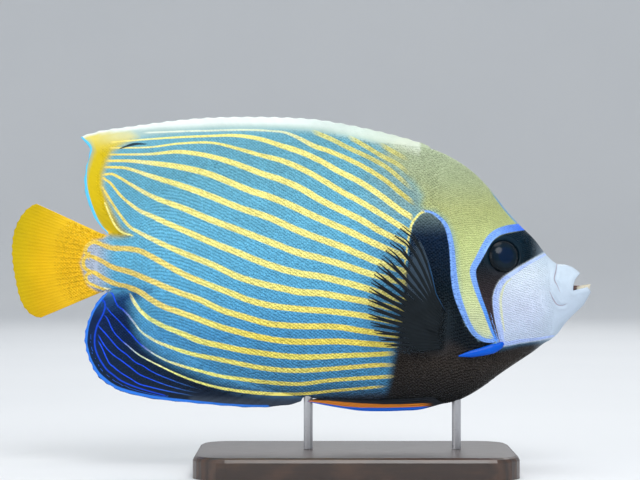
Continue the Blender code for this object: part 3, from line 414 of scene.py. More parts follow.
# The pale stripes from the nape downwards, each along its middle: (x, height)
STRIPES = (
    ((41.5, 182.1), (49.3, 177.7), (54.8, 174.6), (63.1, 170.5)),
    ((24.4, 185.7), (32.7, 181.5), (43.7, 174.9), (54.8, 168.8), (65.9, 158.8)),
    ((4.4, 188.7), (16.1, 183.9), (27.1, 178.4), (38.2, 173.2), (49.3, 166.6), (54.8, 161.9),
     (65.9, 151.9)),
    ((-89.1, 187.1), (-55.9, 188.2), (-17.2, 188.2), (-8.9, 187.3), (-0.6, 183.9), (5.5, 180.6),
     (16.1, 176.8), (27.1, 172.1), (38.2, 166.3), (49.3, 158.8), (54.8, 154.1), (64.8, 146.4)),
    ((-105.7, 181.8), (-83.6, 183.7), (-55.9, 185.2), (-31, 185.2), (-22.7, 183.7), (-11.6, 180.2),
     (-0.6, 176.7), (10.5, 171.7), (21.6, 165.5), (32.7, 159.9), (43.7, 152.7), (54.8, 144.4),
     (62.6, 139.5)),
    ((-105.7, 178.8), (-83.6, 179.2), (-66.4, 181.3), (-47.6, 181.4), (-33.8, 178), (-22.7, 174.9),
     (-11.6, 172), (-0.6, 167.7), (10.5, 161.8), (21.6, 155.1), (32.7, 149.1), (43.7, 142.5),
     (54.8, 135.6), (60.9, 131.7)),
    ((-105.7, 175.1), (-83.6, 175.4), (-66.4, 176.6), (-55.9, 175.3), (-44.8, 172.7), (-33.8, 169.2),
     (-22.7, 164.9), (-11.6, 161.3), (-0.6, 156.6), (10.5, 150.2), (21.6, 144.6), (32.7, 139.2),
     (43.7, 132.8), (60.3, 125.1)),
    ((-106.8, 171.6), (-94.7, 171.6), (-83.6, 170.5), (-64.2, 167.7), (-50.4, 164.1), (-39.3, 159.7),
     (-28.2, 155.2), (-17.2, 151.6), (-6.1, 147.2), (5, 142), (16.1, 137), (27.1, 132.3),
     (38.2, 127), (59.2, 117.9)),
    ((-108, 168.2), (-97.4, 167.7), (-83.6, 163.3), (-64.2, 157.2), (-50.4, 152.2), (-33.8, 145.6),
     (-17.2, 140), (-0.6, 132.6), (10.5, 128.4), (21.6, 124.4), (32.7, 119.7), (43.7, 115.1),
     (59.2, 109.6)),
    ((-109.6, 163.8), (-104.6, 164.4), (-100.2, 162.2), (-94.7, 158.8), (-83.6, 152.5), (-64.2, 145),
     (-50.4, 139.2), (-33.8, 133), (-17.2, 126.7), (-0.6, 120.5), (10.5, 117.7), (21.6, 114.5),
     (38.2, 109.1), (59.2, 103.5)),
    ((-109.6, 162.4), (-105.7, 159.4), (-100.2, 152.7), (-94.7, 147.8), (-89.1, 143.9), (-83.6, 141.4),
     (-64.2, 132.8), (-44.8, 124.5), (-33.8, 120.4), (-22.7, 115.8), (-11.6, 112.1), (-0.6, 109.3),
     (10.5, 107.6), (21.6, 105), (32.7, 102), (57, 94.1)),
    ((-110.2, 157.2), (-105.7, 150), (-100.2, 141.7), (-94.7, 135), (-90.2, 132.3), (-83.6, 128.9),
     (-64.2, 120.1), (-50.4, 114.7), (-33.8, 107.1), (-22.7, 103.8), (-11.6, 101.3), (-0.6, 99),
     (10.5, 98.3), (21.6, 96.4), (38.2, 93.2), (54.8, 89.1)),
    ((-120.1, 128.9), (-112.4, 126.2), (-105.7, 123.6), (-94.7, 122.9), (-89.1, 121.7), (-83.6, 119),
     (-72.5, 112.9), (-64.2, 108.5), (-50.4, 102.8), (-39.3, 98.6), (-28.2, 94.3), (-17.2, 91.6),
     (-0.6, 89.6), (16.1, 88.3), (27.1, 87), (54.8, 81.9)),
    ((-120.1, 120.1), (-114, 117.9), (-109.6, 115.7), (-105.7, 113.4), (-95.2, 110.2), (-83.6, 105.5),
     (-66.4, 98.3), (-55.9, 94.6), (-44.8, 89.4), (-33.8, 85.9), (-17.2, 81.4), (-6.1, 80.3),
     (21.6, 79.5), (32.7, 77.7), (53.7, 74.7)),
    ((-120.1, 112.1), (-114, 109.6), (-109.6, 106.8), (-101.9, 103.2), (-95.2, 101.5), (-89.1, 99),
     (-83.6, 95.2), (-78.1, 91.9), (-67, 87.7), (-55.9, 83.7), (-44.8, 79.7), (-33.8, 76.7),
     (-22.7, 74), (-11.6, 72.1), (-0.6, 71.4), (21.6, 71.6), (38.2, 70.3), (54.8, 69.2)),
    ((-120.1, 105.7), (-115.7, 103.2), (-111.3, 101.3), (-100.2, 100.2), (-95.8, 99), (-94.1, 96.3),
     (-90.2, 90.2), (-86.4, 86.3), (-78.1, 81.1), (-67, 76.4), (-55.9, 71.9), (-44.8, 69.3),
     (-33.8, 67), (-22.7, 65.3), (-11.6, 63.8), (-0.6, 63), (21.6, 63.7), (43.7, 64.6), (54.8, 65.3)),
    ((-120.1, 99), (-106.8, 98.8), (-104.1, 97.4), (-102.4, 93), (-98.5, 89.1), (-95.8, 86.3),
     (-91.9, 81.3), (-89.1, 77.7), (-83.6, 73.6), (-72.5, 68.6), (-61.4, 65), (-44.8, 61.6),
     (-33.8, 59.3), (-22.7, 57.1), (-0.6, 55.5), (10.5, 56), (27.1, 57.3), (43.7, 58.6), (54.8, 58.6)),
    ((-120.1, 94.6), (-108.5, 91.3), (-105.2, 87.4), (-101.3, 83.5), (-98, 79.9), (-94.7, 76.4),
     (-90.8, 71.9), (-83.6, 66.1), (-75.3, 61.4), (-67, 58.4), (-55.9, 55.3), (-44.8, 52.5),
     (-33.8, 50.9), (-17.2, 48.9), (-0.6, 48.1), (16.1, 50.1), (27.1, 50.9), (54.8, 52.5)),
    ((-120.1, 90.2), (-109.6, 86.9), (-106.8, 83.5), (-105.2, 79.7), (-100.2, 73), (-95.8, 69.2),
     (-90.8, 65), (-84.7, 61.4), (-78.1, 58.1), (-67, 52.8), (-55.9, 48.8), (-44.8, 45.9),
     (-33.8, 44.2), (-22.7, 43), (5, 42.9), (16.1, 44.1), (27.1, 45.1), (49.3, 47)),
    ((-120.1, 83.5), (-112.9, 80.8), (-109.6, 77.5), (-105.7, 73), (-101.3, 68), (-96.3, 64.2),
     (-91.9, 60.3), (-87.5, 58.1), (-83.6, 55.6), (-72.5, 50.6), (-61.4, 46.7), (-50.4, 43.7),
     (-36, 40.4)),
    ((-120.1, 79.1), (-112.4, 75.2), (-109.1, 69.7), (-105.7, 65.8), (-99.1, 60.8), (-94.1, 57),
     (-90.2, 53.9), (-83.6, 50.9), (-78.1, 48.7), (-67, 45.3), (-55.9, 43.1), (-47.6, 42),
     (-36, 39.3)),
    ((-120.1, 75.8), (-112.9, 72.5), (-110.7, 69.2), (-108, 63.1), (-106.3, 59.7), (-104.1, 57.8),
     (-99.6, 54.2), (-94.1, 50.9), (-90.8, 48.7), (-83.6, 46.5), (-75.3, 44.5), (-67, 42.9),
     (-36, 37.6)),
)
GOLD, YELLOW, CREAM = paint(246, 214, 96), paint(255, 245, 150), paint(250, 243, 172)
# Inside of the mouth: its own brown, darkened in part by painted shade of the hollow; painted shade in the
# snout's folds
MOUTH_BROWN_AND_SHADE, FOLD_SHADE = paint(84, 58, 52), paint(150, 132, 146)
LINE_BLUE, DEEP_BLUE, PALE_BLUE = paint(134, 180, 255), paint(15, 70, 215), paint(184, 206, 255)
ROYAL = paint(24, 76, 226)
# The main colour of each part, as the panel shows it
USUAL = {
    "flank": paint(100, 182, 222), "stripes": YELLOW, "lines": LINE_BLUE, "tail": paint(228, 180, 6),
    "nape": paint(200, 212, 142), "cheek": paint(214, 224, 246),
}
NAPE_PITCH, THIN_PITCH = 4.5, 1.2  # least distance between the nape's stripes, and between the anal fin's
TOP_PITCH, LOW_PITCH = 8.0, 5.0  # distance to the next stripe that is taken above the first and under the last
LOOP_STRIPE = 15  # the stripe whose rear end is part of the loops on the tail stalk
# Where each stripe starts and ends along x, with the length over which it fades at either end
STRIPE_REACH = (
    (41.5, 8, 62, 12), (24, 8, 63, 12), (4, 8, 64, 12), (-89, 6, 65, 8), (-106, 3, 63, 3), (-107, 3, 61.5, 2),
    (-108, 3, 60.8, 2), (-109, 3, 60, 2), (-110, 3, 59.8, 2), (-111, 3, 59.8, 2), (-111.5, 3, 59, 2),
    (-112, 3, 58, 2), (-117, 3, 57, 3), (-117, 3, 56, 4), (-117, 3, 55, 5), (-96, 4, 54, 8), (-107, 3, 54, 9),
    (-109, 3, 54, 10), (-110, 3, 50, 12), (-113, 2, -50, 26), (-113, 2, -52, 24), (-113, 2, -54, 22),
)
# Half width of each stripe: (x, half width), shared by like stripes
NAPE_HALF = ((0, 1.3), (66, 1.2))
EDGE_HALF = ((-90, 0.45), (-12, 0.55), (6, 1.3), (66, 1.3))
TOP_HALF = ((-115, 0.4), (-80, 0.5), (-46, 0.7), (-26, 1.1), (-6, 1.55), (66, 1.6))
HIGH_HALF = ((-115, 0.45), (-85, 0.65), (-66, 1.1), (-40, 1.5), (0, 1.8), (66, 1.65))
UPPER_HALF = ((-115, 0.55), (-95, 0.85), (-80, 1.35), (-60, 1.7), (0, 1.85), (40, 1.8), (66, 1.5))
MIDDLE_HALF = ((-120, 1.1), (-95, 1.5), (-60, 1.65), (0, 1.7), (40, 1.6), (66, 1.2))
LOWER_HALF = ((-100, 0.7), (-85, 1.1), (-60, 1.6), (0, 1.6), (66, 1.2))
BELLY_HALVES = (
    ((-97, 0.4), (-80, 0.8), (-55, 1.2), (-20, 1.35), (66, 1.1)),
    ((-100, 0.35), (-80, 0.45), (-60, 0.75), (-30, 1.1), (66, 1.0)),
    ((-100, 0.33), (-75, 0.4), (-50, 0.65), (-25, 0.95), (0, 0.85), (66, 0.6)),
)
THIN_HALF = ((-120, 0.36), (-80, 0.3), (-40, 0.22))
STRIPE_HALF = (
    *(NAPE_HALF,) * 3, EDGE_HALF, TOP_HALF, TOP_HALF, HIGH_HALF, *(UPPER_HALF,) * 5, *(MIDDLE_HALF,) * 3,
    LOWER_HALF, *BELLY_HALVES, *(THIN_HALF,) * 3,
)
# Colour along each stripe: (x, colour), shared by like stripes
UPPER_LOOK = ((-118, GOLD), (-100, paint(250, 232, 130)), (-88, CREAM), (-76, YELLOW), (66, YELLOW))
NAPE_LOOK = ((0, paint(232, 230, 150)), (66, paint(205, 200, 120)))
TOP_LOOK = (
    (-90, paint(225, 235, 225)), (-12, paint(228, 235, 200)), (10, YELLOW), (66, paint(215, 205, 110)),
)
MIDDLE_LOOK = ((-118, paint(236, 203, 110)), (-95, paint(240, 215, 120)), (-50, YELLOW), (66, YELLOW))
LOWER_LOOK = ((-100, paint(250, 244, 190)), (-84, YELLOW), (66, YELLOW))
# The stripes by the belly start blue and turn to cream and yellow further and further forward
BELLY_LOOKS = tuple(
    ((turn - 9, ROYAL), (turn, paint(206, 222, 196)), (turn + 20, YELLOW), (66, paint(250, 228, 130)))
    for turn in (-90, -80, -90)
)
LOW_STRIPES = (1.0, 0.80, 0.42)  # what a low stripe's colour is of a high one's, in red, green and blue
FAR_LOOK = ((-120, ROYAL), (-85, ROYAL), (-60, paint(60, 110, 180)), (-38, paint(90, 120, 140)))
STRIPE_LOOK = (
    *(NAPE_LOOK,) * 3, TOP_LOOK, *(UPPER_LOOK,) * 8, *(MIDDLE_LOOK,) * 3, LOWER_LOOK, *BELLY_LOOKS,
    *(FAR_LOOK,) * 3,
)

MASK_LINE = (
    paint(10, 100, 240), LINE_BLUE, LINE_BLUE, LINE_BLUE, paint(96, 164, 255), paint(96, 160, 255),
)
NO_LINE = -5.0  # half width that stands for no line at all
# Narrow lines: colour, half width along it, and its middle
LINES = (
    (YELLOW, (0.5, 0.5), (
        (-108.5, 148.3), (-106.8, 143.9), (-104.6, 138.9), (-101.9, 134.5), (-98.5, 131.7), (-94.1, 130.6))),
    (GOLD, (1, 1), (
        (-111.3, 125.9), (-114.6, 126.7), (-117.9, 125.1), (-119.3, 122.3), (-118.5, 119.8),
        (-114, 117.9))),
    (GOLD, (1, 1), (
        (-117.9, 119.5), (-120.4, 116.8), (-120.1, 112.9), (-117.4, 110.7), (-112.9, 109))),
    (GOLD, (0.9, 0.7), (
        (-116.8, 110.1), (-119, 107.9), (-118.2, 104.6), (-114.6, 102.6), (-109.1, 100.4))),
    (paint(96, 206, 250), (0.7, 0.9, 0.9, 0.6), (
        (-107.4, 131.7), (-111.8, 136.7), (-115.7, 145), (-118.5, 153.9), (-119.5, 161.1), (-119, 169.4),
        (-117.4, 174.9), (-116.4, 178.8), (-118.3, 181.8), (-121.3, 184.3))),
    (paint(50, 124, 232), (0.8, 0.9, 0.8, 0.6), (
        (-108, 98.4), (-111.3, 94.2), (-114.6, 89.6), (-116.8, 84.7), (-118.4, 79.1), (-119.2, 71.4),
        (-118.4, 66.9), (-117.2, 62.5), (-115, 58.1), (-112.3, 53.9), (-109, 50.8), (-105.2, 47.9),
        (-99.8, 45.2), (-89.1, 42.3), (-78.1, 40.3), (-67, 39), (-53.1, 37.6), (-42.1, 36.6),
        (-28.2, 35.9), (-18.3, 35.8))),
    (DEEP_BLUE, (0.42, 0.42, 0.3), (
        (-111.8, 94.3), (-110.2, 94.6), (-108.8, 93.5), (-108.5, 90.7), (-109.6, 86.9), (-111.3, 83.5),
        (-112.9, 80.2), (-114, 75.8), (-114.3, 71.4), (-113.8, 67.5), (-112.4, 63.6), (-110.2, 59.7),
        (-107.4, 55.9), (-103.5, 52.8), (-100.2, 50.3), (-95.8, 48.1), (-89.1, 45.6), (-82.5, 43.7),
        (-75.3, 41.8))),
    (paint(40, 60, 70), (0.3, 0.8, 0.3), ((-99.6, 178.6), (-95.8, 180), (-91.3, 181), (-86.4, 180.9))),
    (YELLOW, (0.55, 0.7, 0.6, 0.5, 0.45, 0.4, 0.2), (
        (68.1, 143.6), (65.9, 142.5), (64.2, 140.8), (62.3, 138.4), (60.9, 135.6), (60.3, 132.3),
        (59.5, 128.8), (58.5, 121.9), (58, 117.9), (57.2, 113), (58, 107.6), (59.2, 99.2))),
    (LINE_BLUE, (0.5, 0.9, 1.4, 1.5, 1.8, 1.9, 1.6, 1.3, 1), (
        (68.1, 143.9), (70.9, 143.5), (73.6, 142.4), (76.4, 140.3), (79.2, 137.5), (81.1, 133.9),
        (82.5, 128.9), (83.6, 122.3), (84.1, 115.7), (84.7, 107.9), (85.8, 100.2), (87.7, 93.5),
        (90.2, 86.9), (93, 80.8), (96.3, 75.8), (101.3, 72.5), (106.3, 71.9))),
    (MASK_LINE, (1.9, 2.1, 2, 1.9, 1.7, 1.4, 1.1, 0.9, 0.7), (
        (125.5, 135.4), (117.9, 134.5), (112.9, 133.5), (108.5, 131.8), (104.9, 128.9), (102.4, 125.3),
        (100.2, 121.2), (98, 117), (95.9, 113.4), (95.1, 110.4), (95.8, 105.7), (97.4, 100.2),
        (99.4, 94.6), (101.6, 89.1), (103.5, 83.5), (105.7, 77.5), (108, 72.5))),
    (PALE_BLUE, (0.5, 0.8, 1.1, 1.5, 1.6, 1.5, 1.1, 0.8, 0.5), (
        (136.7, 120.6), (127.3, 115.7), (121.8, 112.3), (116.8, 109), (112.4, 105.7), (109.6, 101.8),
        (108.2, 97.9), (107.7, 93.5), (108.5, 85.8), (110.2, 78), (112.4, 70.8), (121.2, 71.9),
        (132.3, 73.3), (139.5, 74.7))),
    (paint(228, 234, 206), (0.3, 0.6, 0.6, 0.3), (
        (115.9, 106), (113, 103.2), (111.6, 99.6), (110.6, 94.6), (111.2, 86.3), (112.6, 77.9))),
    # Painted shade along two of the snout's folds
    (FOLD_SHADE, (0.1, 0.22, 0.2, 0.05), FOLD_1), (FOLD_SHADE, (0.05, 0.24, 0.22, 0.05), FOLD_2),
)

FLANK_BY_HEIGHT = (
    (30, paint(60, 80, 104)), (42, paint(66, 108, 144)), (50, paint(80, 152, 198)), (75, paint(84, 162, 212)),
    (100, USUAL["flank"]), (135, paint(108, 186, 218)), (165, paint(108, 178, 202)),
    (200, paint(116, 180, 200)),
)
# Broad areas over the flank, in the order in which they are laid: outline, softness, colours by height, part
ZONES = (
    (BACK_FIN_END, 2.4, ((128, paint(182, 157, 16)), (150, paint(215, 185, 14)), (176, paint(221, 194, 26)),
                         (190, paint(235, 225, 130))), "tail"),
    (ANAL_DARK, 5.0, ((35, paint(20, 30, 44)), (60, paint(8, 36, 66)), (85, paint(4, 34, 78)),
                      (100, paint(30, 80, 135))), None),
    (TAIL_EDGE, 1.2, ((80, paint(202, 160, 2)), (116, USUAL["tail"]), (150, paint(200, 168, 0))), "tail"),
    (BELLY_EDGE, 2.0, ((30, paint(52, 60, 74)), (44, paint(60, 72, 88))), None),
    (NAPE, 4.5, ((70, paint(226, 234, 192)), (100, paint(208, 220, 160)), (125, USUAL["nape"]),
                 (145, paint(182, 190, 128)), (160, paint(168, 180, 138)),
                 (180, paint(174, 188, 156))), "nape"),
    (SHOULDER, 0.8, ((65, paint(16, 24, 30)), (100, paint(4, 24, 36)), (128, paint(0, 30, 58)),
                     (140, paint(0, 36, 72))), None),
    (BREAST, 3.0, ((35, paint(34, 38, 42)), (60, paint(56, 50, 46)), (75, paint(40, 40, 44))), None),
    # painted shade round the breast fin's root
    (FIN_FOOT, 5.0, ((62, paint(34, 36, 40)), (80, paint(24, 36, 44))), None),
    (MASK, 0.6, ((72, paint(70, 62, 72)), (92, paint(60, 50, 54)), (106, paint(40, 38, 42)),
                 (116, paint(0, 24, 36)), (132, paint(0, 30, 46))), None),
    (CHEEK, 0.6, ((70, paint(204, 220, 244)), (90, USUAL["cheek"]), (110, paint(222, 234, 246)),
                  (122, paint(196, 214, 232))), "cheek"),
)


def tint(part):
    """What the part's chosen colour is of its usual one, in red, green and blue. With no part it is one."""
    if part is None:
        return np.ones(3)
    return np.array(getattr(bpy.context.scene.fish_colours, part)) / USUAL[part]


def blend_stops(stops, at):
    place = [s[0] for s in stops]
    return np.stack([np.interp(at, place, [s[1][k] for s in stops]) for k in range(3)], axis=-1)


def stripe_heights(x):
    """Height of every stripe at each x, kept in order, and its slope there."""
    heights = np.array([height_curve(s)(x) for s in STRIPES])
    for k in (2, 1, 0):
        heights[k] = np.maximum(heights[k], heights[k + 1] + NAPE_PITCH)
    for k in range(len(heights) - 3, len(heights)):
        heights[k] = np.minimum(heights[k], heights[k - 1] - THIN_PITCH)
    return heights, np.gradient(heights, x, axis=1)


def stripes_at(x, z):
    """The stripes' numbers, rising by one from each to the next, with half widths in those units, colours and
    strengths."""
    step = 0.5
    table_x = np.arange(-170.0, 170.0, step)
    heights, slopes = stripe_heights(table_x)
    count = len(heights)
    column = (x - table_x[0]) / step
    left = np.clip(column.astype(int), 0, len(table_x) - 2)
    part = np.clip(column - left, 0, 1)
    at = [h[left] * (1 - part) + h[left + 1] * part for h in heights]
    number = -(z - at[0]) / TOP_PITCH
    gap = np.full(x.shape, TOP_PITCH)
    for k in range(count - 1):
        between = (z <= at[k]) & (z > at[k + 1])
        space = at[k] - at[k + 1]
        number = np.where(between, k + (at[k] - z) / space, number)
        gap = np.where(between, space, gap)
    under = z <= at[-1]
    number = np.where(under, count - 1 + (at[-1] - z) / LOW_PITCH, number)
    gap = np.where(under, LOW_PITCH, gap)
    nearest = np.clip(np.round(number), 0, count - 1).astype(int)
    half, strength, colour = np.zeros(x.shape), np.zeros(x.shape), np.zeros((*x.shape, 3))
    for k in range(count):
        mine = nearest == k
        px = x[mine]
        place, size = zip(*STRIPE_HALF[k])
        start, rise, end, fall = STRIPE_REACH[k]
        strength[mine] = ease(px, start, start + rise) * (1 - ease(px, end - fall, end))
        slope = np.interp(px, table_x, slopes[k])
        half[mine] = np.interp(px, place, size) * np.sqrt(1 + slope**2)
        colour[mine] = blend_stops(STRIPE_LOOK[k], px)
    tail_part = (nearest == LOOP_STRIPE) & (x < -103)
    strength = np.where(tail_part, (1 - ease(x, -108, -104)) * ease(x, -119, -116), strength)
    strength = np.where((number < -0.5) | (number > count - 0.5), 0, strength)
    # The lower stripes are deeper in colour; painted light brightens them towards the belly, where less light
    # falls
    deep = (1 - ease(z, 66, 116)) * (0.5 + 0.5 * ease(z, 56, 70)) * ease(x, -90, -20)
    colour = mix(colour, colour * LOW_STRIPES, deep)
    colour = np.minimum(1.0, colour * tint("stripes") * (1 + 0.16 * (1 - ease(z, 50, 130)))[:, None])
    return number, half / gap * np.minimum(1, strength * 3), colour, strength


def ground_at(x, z):
    """Colour under the stripes and lines."""
    colour = blend_stops(FLANK_BY_HEIGHT, z) * tint("flank")
    # Painted shade, deeper blue, under and round the breast fin; greyish on the root of the tail
    shade_under_fin = ease(x, 20, 60) * ease(z, 60, 80) * (1 - ease(z, 120, 150))
    colour = mix(colour, paint(66, 112, 176), 0.35 * shade_under_fin)
    tail_root = (1 - ease(x, -115, -102)) * ease(z, 92, 98) * (1 - ease(z, 134, 140))
    colour = mix(colour, paint(190, 190, 205), 0.8 * tail_root)
    for outline, soft, stops, part in ZONES:
        p = np.array(outline)
        near = (x > p[:, 0].min() - soft) & (x < p[:, 0].max() + soft)
        near &= (z > p[:, 1].min() - soft) & (z < p[:, 1].max() + soft)
        nx, nz = x[near], z[near]
        wider = 0.8 if outline is MASK else 0.0
        amount = ease(inside_by(outline, nx, nz) + wider, -soft, soft)
        colour[near] = mix(colour[near], blend_stops(stops, nz) * tint(part), amount)
    # Olive shades into the blue behind the nape
    near_nape = ease(x, 24, 64) * ease(z, 128, 152) * (inside_by(NAPE, x, z) < 0)
    colour = mix(colour, paint(146, 170, 158), 0.75 * near_nape)
    # White along the top of the back fin, with a greyish band under it
    top = path(BACK_FIN_TOP)(even(120))
    depth = np.interp(x, top[:, 0], top[:, 1]) - z
    edge = (x > -124) & (x < 66)
    strength = 1 - ease(x, -20, 50)
    wide = ease(x, -116, -50)
    white = (1 - ease(depth, 0.7 + 1.6 * wide, 2.0 + 4.2 * wide)) * (0.25 + 0.75 * strength)
    grey = (1 - ease(depth, 4.5, 9.5)) * (1 - 0.3 * strength) * ease(x, -118, -96)
    colour = mix(colour, paint(204, 214, 190), grey * edge * 0.8)
    # Greyer snout, blue brow in front of the eye; painted shade, darker and greener, towards the tail fin's
    # rear edge, and brighter yellow from its middle to its root
    colour = mix(colour, paint(182, 199, 214), 0.7 * ease(x, 126, 142))
    brow = (1 - ease(back(np.minimum(x, 150.0)) - z, 0.3, 1.8)) * ease(x, 103, 110) * (1 - ease(x, 119, 121))
    colour = mix(colour, paint(70, 150, 220), 0.8 * brow)
    # Painted shade: the tail fin darkens and turns greener towards its rear edge
    colour = mix(colour, paint(184, 164, 0), 0.75 * (1 - ease(x, -160, -140)))
    bright = ease(x, -148, -122) * ease(inside_by(TAIL_EDGE, x, z), -1.2, 1.2)
    colour = mix(colour, paint(252, 202, 40), 0.6 * bright)
    return mix(colour, paint(234, 243, 238), white * edge)


def mix(one, two, amount):
    amount = np.asarray(amount)[..., None]
    return np.asarray(one) * (1 - amount) + np.asarray(two) * amount


def lines_at(x, z):
    """Signed distance across the nearest narrow line, its half width there, and its colour."""
    across, reach = np.full(x.shape, 5.0), np.full(x.shape, NO_LINE)
    colour = np.zeros((*x.shape, 3)) + np.array(LINE_BLUE)
    score = np.full(x.shape, -1.6)
    for look, halves, points in LINES:
        line = steps_between(points)
        low, high = line.min(axis=0) - 4, line.max(axis=0) + 4
        near = (x > low[0]) & (x < high[0]) & (z > low[1]) & (z < high[1])
        away, share = nearest_on(line, x[near], z[near])
        half = np.interp(share, np.linspace(0, 1, len(halves)), halves)
        better = half - np.abs(away) > score[near]
        where = np.flatnonzero(near)[better]
        score[where] = (half - np.abs(away))[better]
        across[where], reach[where] = away[better], half[better]
        looks = np.atleast_2d(look)
        colour[where] = blend_stops(list(zip(np.linspace(0, 1, len(looks)), looks)), share[better])
    return across, reach, colour * tint("lines")


def write_markings(mesh, inner=()):
    """Gives every point of a mesh its stripe, line and ground colours. The inner points line the mouth."""
    points = side_points(mesh)
    # Places are read from the photo, where what lies nearer to the camera shows further from the middle
    nearer = PHOTO_AWAY / (PHOTO_AWAY - np.abs(points[:, 1]))
    x = PHOTO_AIM[0] + (points[:, 0] - PHOTO_AIM[0]) * nearer
    z = PHOTO_AIM[1] + (points[:, 2] - PHOTO_AIM[1]) * nearer
    number, half, stripe_colour, strength = stripes_at(x, z)
    ground = ground_at(x, z)
    across, reach, line_colour = lines_at(x, z)
    inner = list(inner)
    # The mouth's inside is brown, darkened in part by painted shade of its hollow
    ground[inner], half[inner], reach[inner] = MOUTH_BROWN_AND_SHADE, -1.0, NO_LINE
    for name, values in (
        ("stripe", number), ("width", half), ("mark", mix(ground, stripe_colour, strength)), ("ground", ground),
        ("across", across), ("reach", reach), ("line", line_colour),
    ):
        write_values(mesh, name, values)


# Meshes


def in_scene(name, data):
    """A new object of the scene, at the origin unless it is moved."""
    made = bpy.data.objects.new(name, data)
    bpy.context.scene.collection.objects.link(made)
    return made


def mesh_piece(name, points, faces, material, smooth_angle=50):
    """A piece in metres, at the origin, from points in millimetres."""
    mesh = bpy.data.meshes.new(name)
    mesh.from_pydata((np.asarray(points, float) * MM).tolist(), [], [list(map(int, f)) for f in faces])
    mesh.materials.append(material)
    mesh.shade_smooth()
    if smooth_angle:
        mesh.set_sharp_from_angle(angle=math.radians(smooth_angle))
    return in_scene(name, mesh)


def mirror_piece(source, name):
    """The same piece on the other side of the fish, with its markings and its own UV maps."""
    mesh = source.data.copy()
    points = np.empty(len(mesh.vertices) * 3, np.float32)
    mesh.vertices.foreach_get("co", points)
    points[1::3] *= -1
    mesh.vertices.foreach_set("co", points)
    mesh.flip_normals()
    mesh.name = name
    return in_scene(name, mesh)


def write_values(mesh, name, values):
    """Stores one number, or one colour, for each point of the mesh."""
    values = np.asarray(values, np.float32)
    if values.ndim == 1:
        mesh.attributes.new(name, "FLOAT", "POINT").data.foreach_set("value", values)
    else:
        full = np.ones((len(values), 4), np.float32)
        full[:, :3] = values
        mesh.attributes.new(name, "FLOAT_COLOR", "POINT").data.foreach_set("color", full.ravel())


def side_points(mesh):
    """The mesh's points in millimetres."""
    points = np.empty(len(mesh.vertices) * 3, np.float32)
    mesh.vertices.foreach_get("co", points)
    return points.reshape(-1, 3).astype(float) / MM


def grid_faces(index):
    """Quads over a grid of point numbers."""
    return np.stack([index[:-1, :-1], index[1:, :-1], index[1:, 1:], index[:-1, 1:]], axis=-1).reshape(-1, 4)


class Sheet:
    """The fish's right side in side view: points (x, z) with a half thickness, and the faces between them."""

    def __init__(self):
        self.points, self.faces, self.number = [], [], {}

    def add(self, x, z, half):
        key = (round(float(x), 3), round(float(z), 3))
        if key not in self.number:
            self.number[key] = len(self.points)
            self.points.append((float(x), float(z), float(half)))
        return self.number[key]

    def grid(self, grid, half):
        index = np.array([[self.add(*p, h) for p, h in zip(row, hs)] for row, hs in zip(grid, half)])
        for face in grid_faces(index):
            kept = list(dict.fromkeys(int(i) for i in face))
            if len(kept) > 2:
                self.faces.append(kept)
        return index

    def zip_rows(self, first, second):
        """Triangles between two rows of points that run the same way."""
        a, b = (shares_along(np.array([self.points[i][:2] for i in row])) for row in (first, second))
        i = j = 0
        while i < len(first) - 1 or j < len(second) - 1:
            step_first = j == len(second) - 1 or (i < len(first) - 1 and a[i + 1] <= b[j + 1])
            if step_first:
                self.faces.append([first[i], first[i + 1], second[j]])
                i += 1
            else:
                self.faces.append([first[i], second[j + 1], second[j]])
                j += 1


def body_rows():
    low = crowded_low(LOW_ROWS) * JAW_SPLIT
    return np.concatenate([low, JAW_SPLIT + (1 - JAW_SPLIT) * crowded_high(HIGH_ROWS)[1:]])


def stalk_end(s):
    """The upright line between the trunk and the tail stalk."""
    low, high = float(belly(PEDUNCLE_X)), float(back(PEDUNCLE_X))
    return np.stack([np.full_like(s, PEDUNCLE_X), low + (high - low) * s], -1)


def upper_jaw_grid(rows):
    tip = (UPPER_TIP_X, back(UPPER_TIP_X))
    front = joined(path(LIP_SEAM), path([*UPPER_LIP, tip]), rows[SEAM_ROWS])
    top = on_outline(back, SNOUT_TOP_X, UPPER_TIP_X)
    return patch(upper_seam, front, path([JAW_HINGE, UPPER_FOOT]), top, even(JAW_COLUMNS), rows)


def lower_jaw_grid(upper):
    """The lower jaw, whose upper edge starts with the points that the upper jaw ends on."""
    lip = path(LOWER_LIP)(even(LIP_STEPS))[1:]
    edge = np.concatenate([upper[:, 0], upper[-1, 1 : SEAM_ROWS + 1], lip])
    run = shares_along(edge)
    front = path([(LOWER_TIP_X, belly(LOWER_TIP_X)), LOWER_TIP_FRONT, LOWER_LIP[-1]])
    low = on_outline(belly, CHIN_X, LOWER_TIP_X)

    def high(s):
        return np.stack([np.interp(s, run, column) for column in edge.T], -1)

    return patch(lower_seam, front, low, high, run, crowded_low(LOW_ROWS))


def ray_height(phase, share, rays, branch):
    """How far the ridges of the rays stand up, 0 to 1. Each soft ray splits in two on its way out."""
    one = 0.5 + 0.5 * np.cos(2 * math.pi * (phase * rays - 0.5))
    two = 0.5 + 0.5 * np.cos(4 * math.pi * (phase * rays - 0.5))
    split = ease(share, 0.35, 0.7) * branch
    return (one**2 * (1 - split) + two**2 * split) * np.minimum(1, share * 8)


